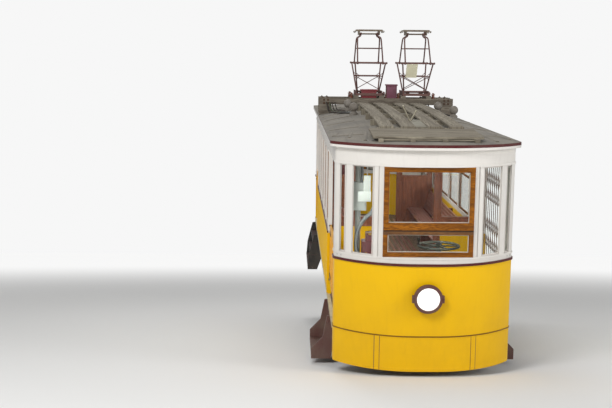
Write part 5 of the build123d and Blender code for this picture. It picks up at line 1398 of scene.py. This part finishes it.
# %% [markdown]
# The right doorways close with a folding lattice. Thin uprights are held by crossing straps, riveted
# where they meet, so the whole net shortens as the stile is pushed back. This draws it lighter than
# the frame's solid one and takes its place.

# %% Folding lattice
lattice_x, lattice_low, lattice_high = 0.9775, 0.040, 1.821
stile_face, jamb_face, stile_travel, upright_count = 3.658, 2.300, 1.08, 13
lattice_pitch = (stile_face - jamb_face - 0.0166) / (upright_count - 1)
strap_rise, strap_run = 0.420, 2 * lattice_pitch - 0.014
strap_long, strap_tilt = math.hypot(strap_rise, strap_run), math.atan2(strap_run, strap_rise)
for end, way in car_ends.items():
    net = bmesh.new()
    for k in range(upright_count):
        y = stile_face - 0.0083 - k * lattice_pitch
        block(net, (lattice_x - 0.0035, lattice_x + 0.0035), (y - 0.0085, y + 0.0085),
              (lattice_low, lattice_high), 0.0015)
        if k in (0, upright_count - 1):
            continue
        for row in (0.320, 0.900, 1.480):
            for side in (-1, 1):
                middle = Matrix.Translation((lattice_x + side * 0.0048, y, row))
                at = middle @ Matrix.Rotation(-side * strap_tilt, 4, "X")
                block(net, (-0.0015, 0.0015), (-0.0055, 0.0055), (-strap_long / 2, strap_long / 2), place=at)
                for reach in (-0.46, 0, 0.46):
                    spot = at @ Vector((side * 0.0015, 0, reach * strap_long))
                    stud(net, spot, (side, 0, 0), 0.0045, 0.002, 6)
    bmesh.ops.scale(net, vec=(1, way, 1), verts=net.verts)
    shown = build("lattice_%s" % end, net, "lattice_maroon")
    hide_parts("lattice_right_%s" % end)
    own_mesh(shown)

# %% [markdown]
# The left doorways have a half gate of painted boards. Beads stand on its sunk panels where the boards
# join, iron hinge straps cross it at top and bottom, and a brass bolt closes it. Each gate turns on
# its own body, so these ride on the gates.

# %% Beads, hinge straps and bolts on the half gates
gate_x, gate_low, gate_high, gate_front, gate_back = -0.9695, 0.200, 0.880, 3.692, 2.365
for end, way in car_ends.items():
    boards, iron, bolt = bmesh.new(), bmesh.new(), bmesh.new()
    for y in [gate_back + 0.055 + k * 0.077 for k in range(16)]:
        for x in (gate_x - 0.0125, gate_x + 0.0045):
            block(boards, (x, x + 0.008), (y - 0.005, y + 0.005), (gate_low + 0.040, gate_high - 0.040),
                  0.002)
    rail = [(gate_x, y, gate_high + 0.004) for y in (gate_front - 0.012, gate_back - 0.02)]
    tube(boards, rail, 0.014, 2, 3)
    for side in (-1, 1):
        x = gate_x + side * 0.015
        for z in (gate_low + 0.055, gate_high - 0.085):
            block(iron, (x - 0.002, x + 0.002), (gate_back - 0.046, gate_back + 0.260), (z, z + 0.030), 0.001)
            for y in [gate_back - 0.02 + k * 0.08 for k in range(4)]:
                stud(iron, (x + side * 0.002, y, z + 0.015), (side, 0, 0), 0.006, 0.003)
        block(bolt, (x - 0.003, x + 0.003), (gate_front - 0.036, gate_front - 0.004), (0.700, 0.790), 0.002)
        turned(bolt, [(0, 22), (9, 19), (10, 12), (5, 6), (5, 0)],
               (x, gate_front - 0.020, 0.745), (side, 0, 0), 12)
    for shape, name, coat in ((boards, "gate_beads", "gate_yellow"), (iron, "gate_straps", "frame_black"),
                              (bolt, "gate_bolt", "brass")):
        bmesh.ops.scale(shape, vec=(1, way, 1), verts=shape.verts)
        build("%s_%s" % (name, end), shape, coat, body="gate_left_%s" % end, smooth=40)
print("both half gates fitted")

# %% [markdown]
# The floor has hardwood slats along the aisle and both platforms, which take the wear of shoes. They
# are polished by use and catch the light as long streaks through the front panes. Each bench slat has
# a thin pale line along each edge, a painted highlight of the light on its varnished edges. At the
# uphill end the floor slats leave the foot of the brake column free.

# %% Floor slats and painted highlights on the benches
timber("slat_wood", (158, 92, 70), (92, 44, 34), (40, 2.0, 40), 0.28, 0.2, cloud=0.25)
timber("painted_highlight_wood", (216, 168, 150), (168, 112, 96), (40, 2.0, 8), 0.25, 0.4)
slats, bench_highlight_lines = bmesh.new(), bmesh.new()
aisle_xs = [-0.48 + k * 0.08 for k in range(13)]
platform_xs = [-0.81 + k * 0.09 for k in range(19)]
uphill_xs = [x for x in platform_xs if not -0.02 < x < 0.36]
for low, high, xs in ((-2.20, 2.20, aisle_xs), (-3.62, -2.26, uphill_xs), (2.26, 3.62, platform_xs)):
    for x in xs:
        block(slats, (x - 0.019, x + 0.019), (low, high), (-0.001, 0.010), 0.003)
# Two thin pale strips along each bench slat are a painted highlight on its edges.
for x, z, tilt in ((560, 428, -12), (610, 440, -4), (662, 441, 2), (714, 437, 4), (766, 432, 4),
                   (838, 470, 70), (857, 523, 74), (872, 576, 76), (884, 629, 78), (895, 682, 80),
                   (904, 735, 82)):
    laid = Matrix.Translation((x / 1000, 0, z / 1000)) @ Matrix.Rotation(math.radians(-tilt), 4, "Y")
    for edge in (-0.020, 0.012):
        block(bench_highlight_lines, (edge, edge + 0.008), (-2.155, 2.155), (0.0086, 0.0105), 0.0005, place=laid)
build("floor_slats", slats, "slat_wood")
build("bench_highlight_lines", bench_highlight_lines, "painted_highlight_wood", SIDES)
print("slats on the floor, pale lines on the benches")

# %% [markdown]
# Small things finish the platforms. Two blank white plates hang on a rod behind the left light, a bell
# with its clapper hangs from the ceiling, and a cream roller blind is rolled up over the middle
# window. The plates carry no words.

# %% Plates, bells and blinds on the platforms
plates, bell, blind = bmesh.new(), bmesh.new(), bmesh.new()
block(plates, (-0.690, -0.615), (-3.990, -3.986), (1.550, 1.732), 0.001)
block(plates, (-0.752, -0.608), (-3.996, -3.992), (1.446, 1.556), 0.001)
for x, y, z in ((-0.680, -3.990, 1.722), (-0.625, -3.990, 1.722), (-0.742, -3.996, 1.456),
                (-0.618, -3.996, 1.456)):
    stud(plates, (x, y, z), FRONT, 0.004, 0.002)
tube(plates, [(-0.652, -3.983, 1.50), (-0.652, -3.983, 1.90), (-0.652, -3.965, 2.12)], 0.004, 3)
enamel("plate_white", (208, 207, 202), 0.5, (3, 4), 0.0, 0.08, 0.04, coat=0.1)
build("blank_platform_plates", plates, "plate_white", ENDS, smooth=50)

bell_top = (0.42, -3.70, 2.095)
turned(bell, [(1, -10), (40, -14), (58, -30), (66, -62), (78, -80), (80, -84),
              (74, -82), (60, -64), (52, -34), (36, -20), (1, -16)], bell_top, None, 28)
turned(bell, [(6, 40), (6, -12), (12, -14)], bell_top, None, 10)
build("platform_bells", bell, "brass", ENDS, smooth=40)

tube(blind, [(-0.47, -4.12, 1.885), (0.47, -4.12, 1.885)], 0.024, 2, 4)
block(blind, (-0.46, 0.46), (-4.146, -4.143), (1.845, 1.885), 0.001)
for x in (-0.478, 0.472):
    block(blind, (x, x + 0.006), (-4.150, -4.09), (1.855, 1.915), 0.002)
build("window_blinds", blind, "sole_cream", ENDS, smooth=40)
print("plates, bells and blinds")

# %% [markdown]
# Each ribbed side panel ends in a painted cover strip with round-headed screws. Small screws hold the
# belt moulding round both ends and along the right side. Under the truck, a sand pipe bends down
# beside each wheel.

# %% Side cover strips, belt screws and sand pipes
cover, belt, pipes = bmesh.new(), bmesh.new(), bmesh.new()
for y in (-2.262, 2.262):
    block(cover, (0.998, 1.016), (y - 0.022, y + 0.022), (0.010, 0.780), 0.003)
    for z in [0.05 + k * 0.085 for k in range(9)]:
        stud(cover, (1.016, y, z), OUT, 0.006, 0.003)
build("panel_cover_strips", cover, "body_yellow", SIDES)

for y in [-2.18 + k * 0.1505 for k in range(30)]:
    stud(belt, (1.014, y, 0.795), OUT, 0.005, 0.002)
for x in [0.06 + k * 0.058 for k in range(16)]:
    y, out = end_skin(x, -0.014)
    stud(belt, (x, y, 0.795), out, 0.0045, 0.002)
    stud(belt, (-x, y, 0.795), (-out[0], out[1], 0), 0.0045, 0.002)
build("belt_screws", belt, "line_maroon", ENDS)

for side in (-1, 1):
    for way in (-1, 1):
        bend = ((0.480, 1.28, 0.600), (0.480, 1.30, 0.50), (0.475, 1.345, 0.30), (0.470, 1.400, 0.12),
                (0.470, 1.440, 0.070))
        tube(pipes, [(side * x, way * y, z) for x, y, z in bend], 0.017, 3, 3)
build("sand_pipes", pipes, "brake_iron", place=model_frame, smooth=50)
print("cover strips, screws and pipes")

# %% [markdown]
# How far the dressed car's box differs from the frame's own box, at both corners, is printed. The
# dressed car has to stay inside the frame's own box.

# %% Sizes and finish
dressed_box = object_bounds()
growth = [[round(b - a, 4) for a, b in zip(*pair)] for pair in zip(frame_box, dressed_box)]
print("box grows by", growth)
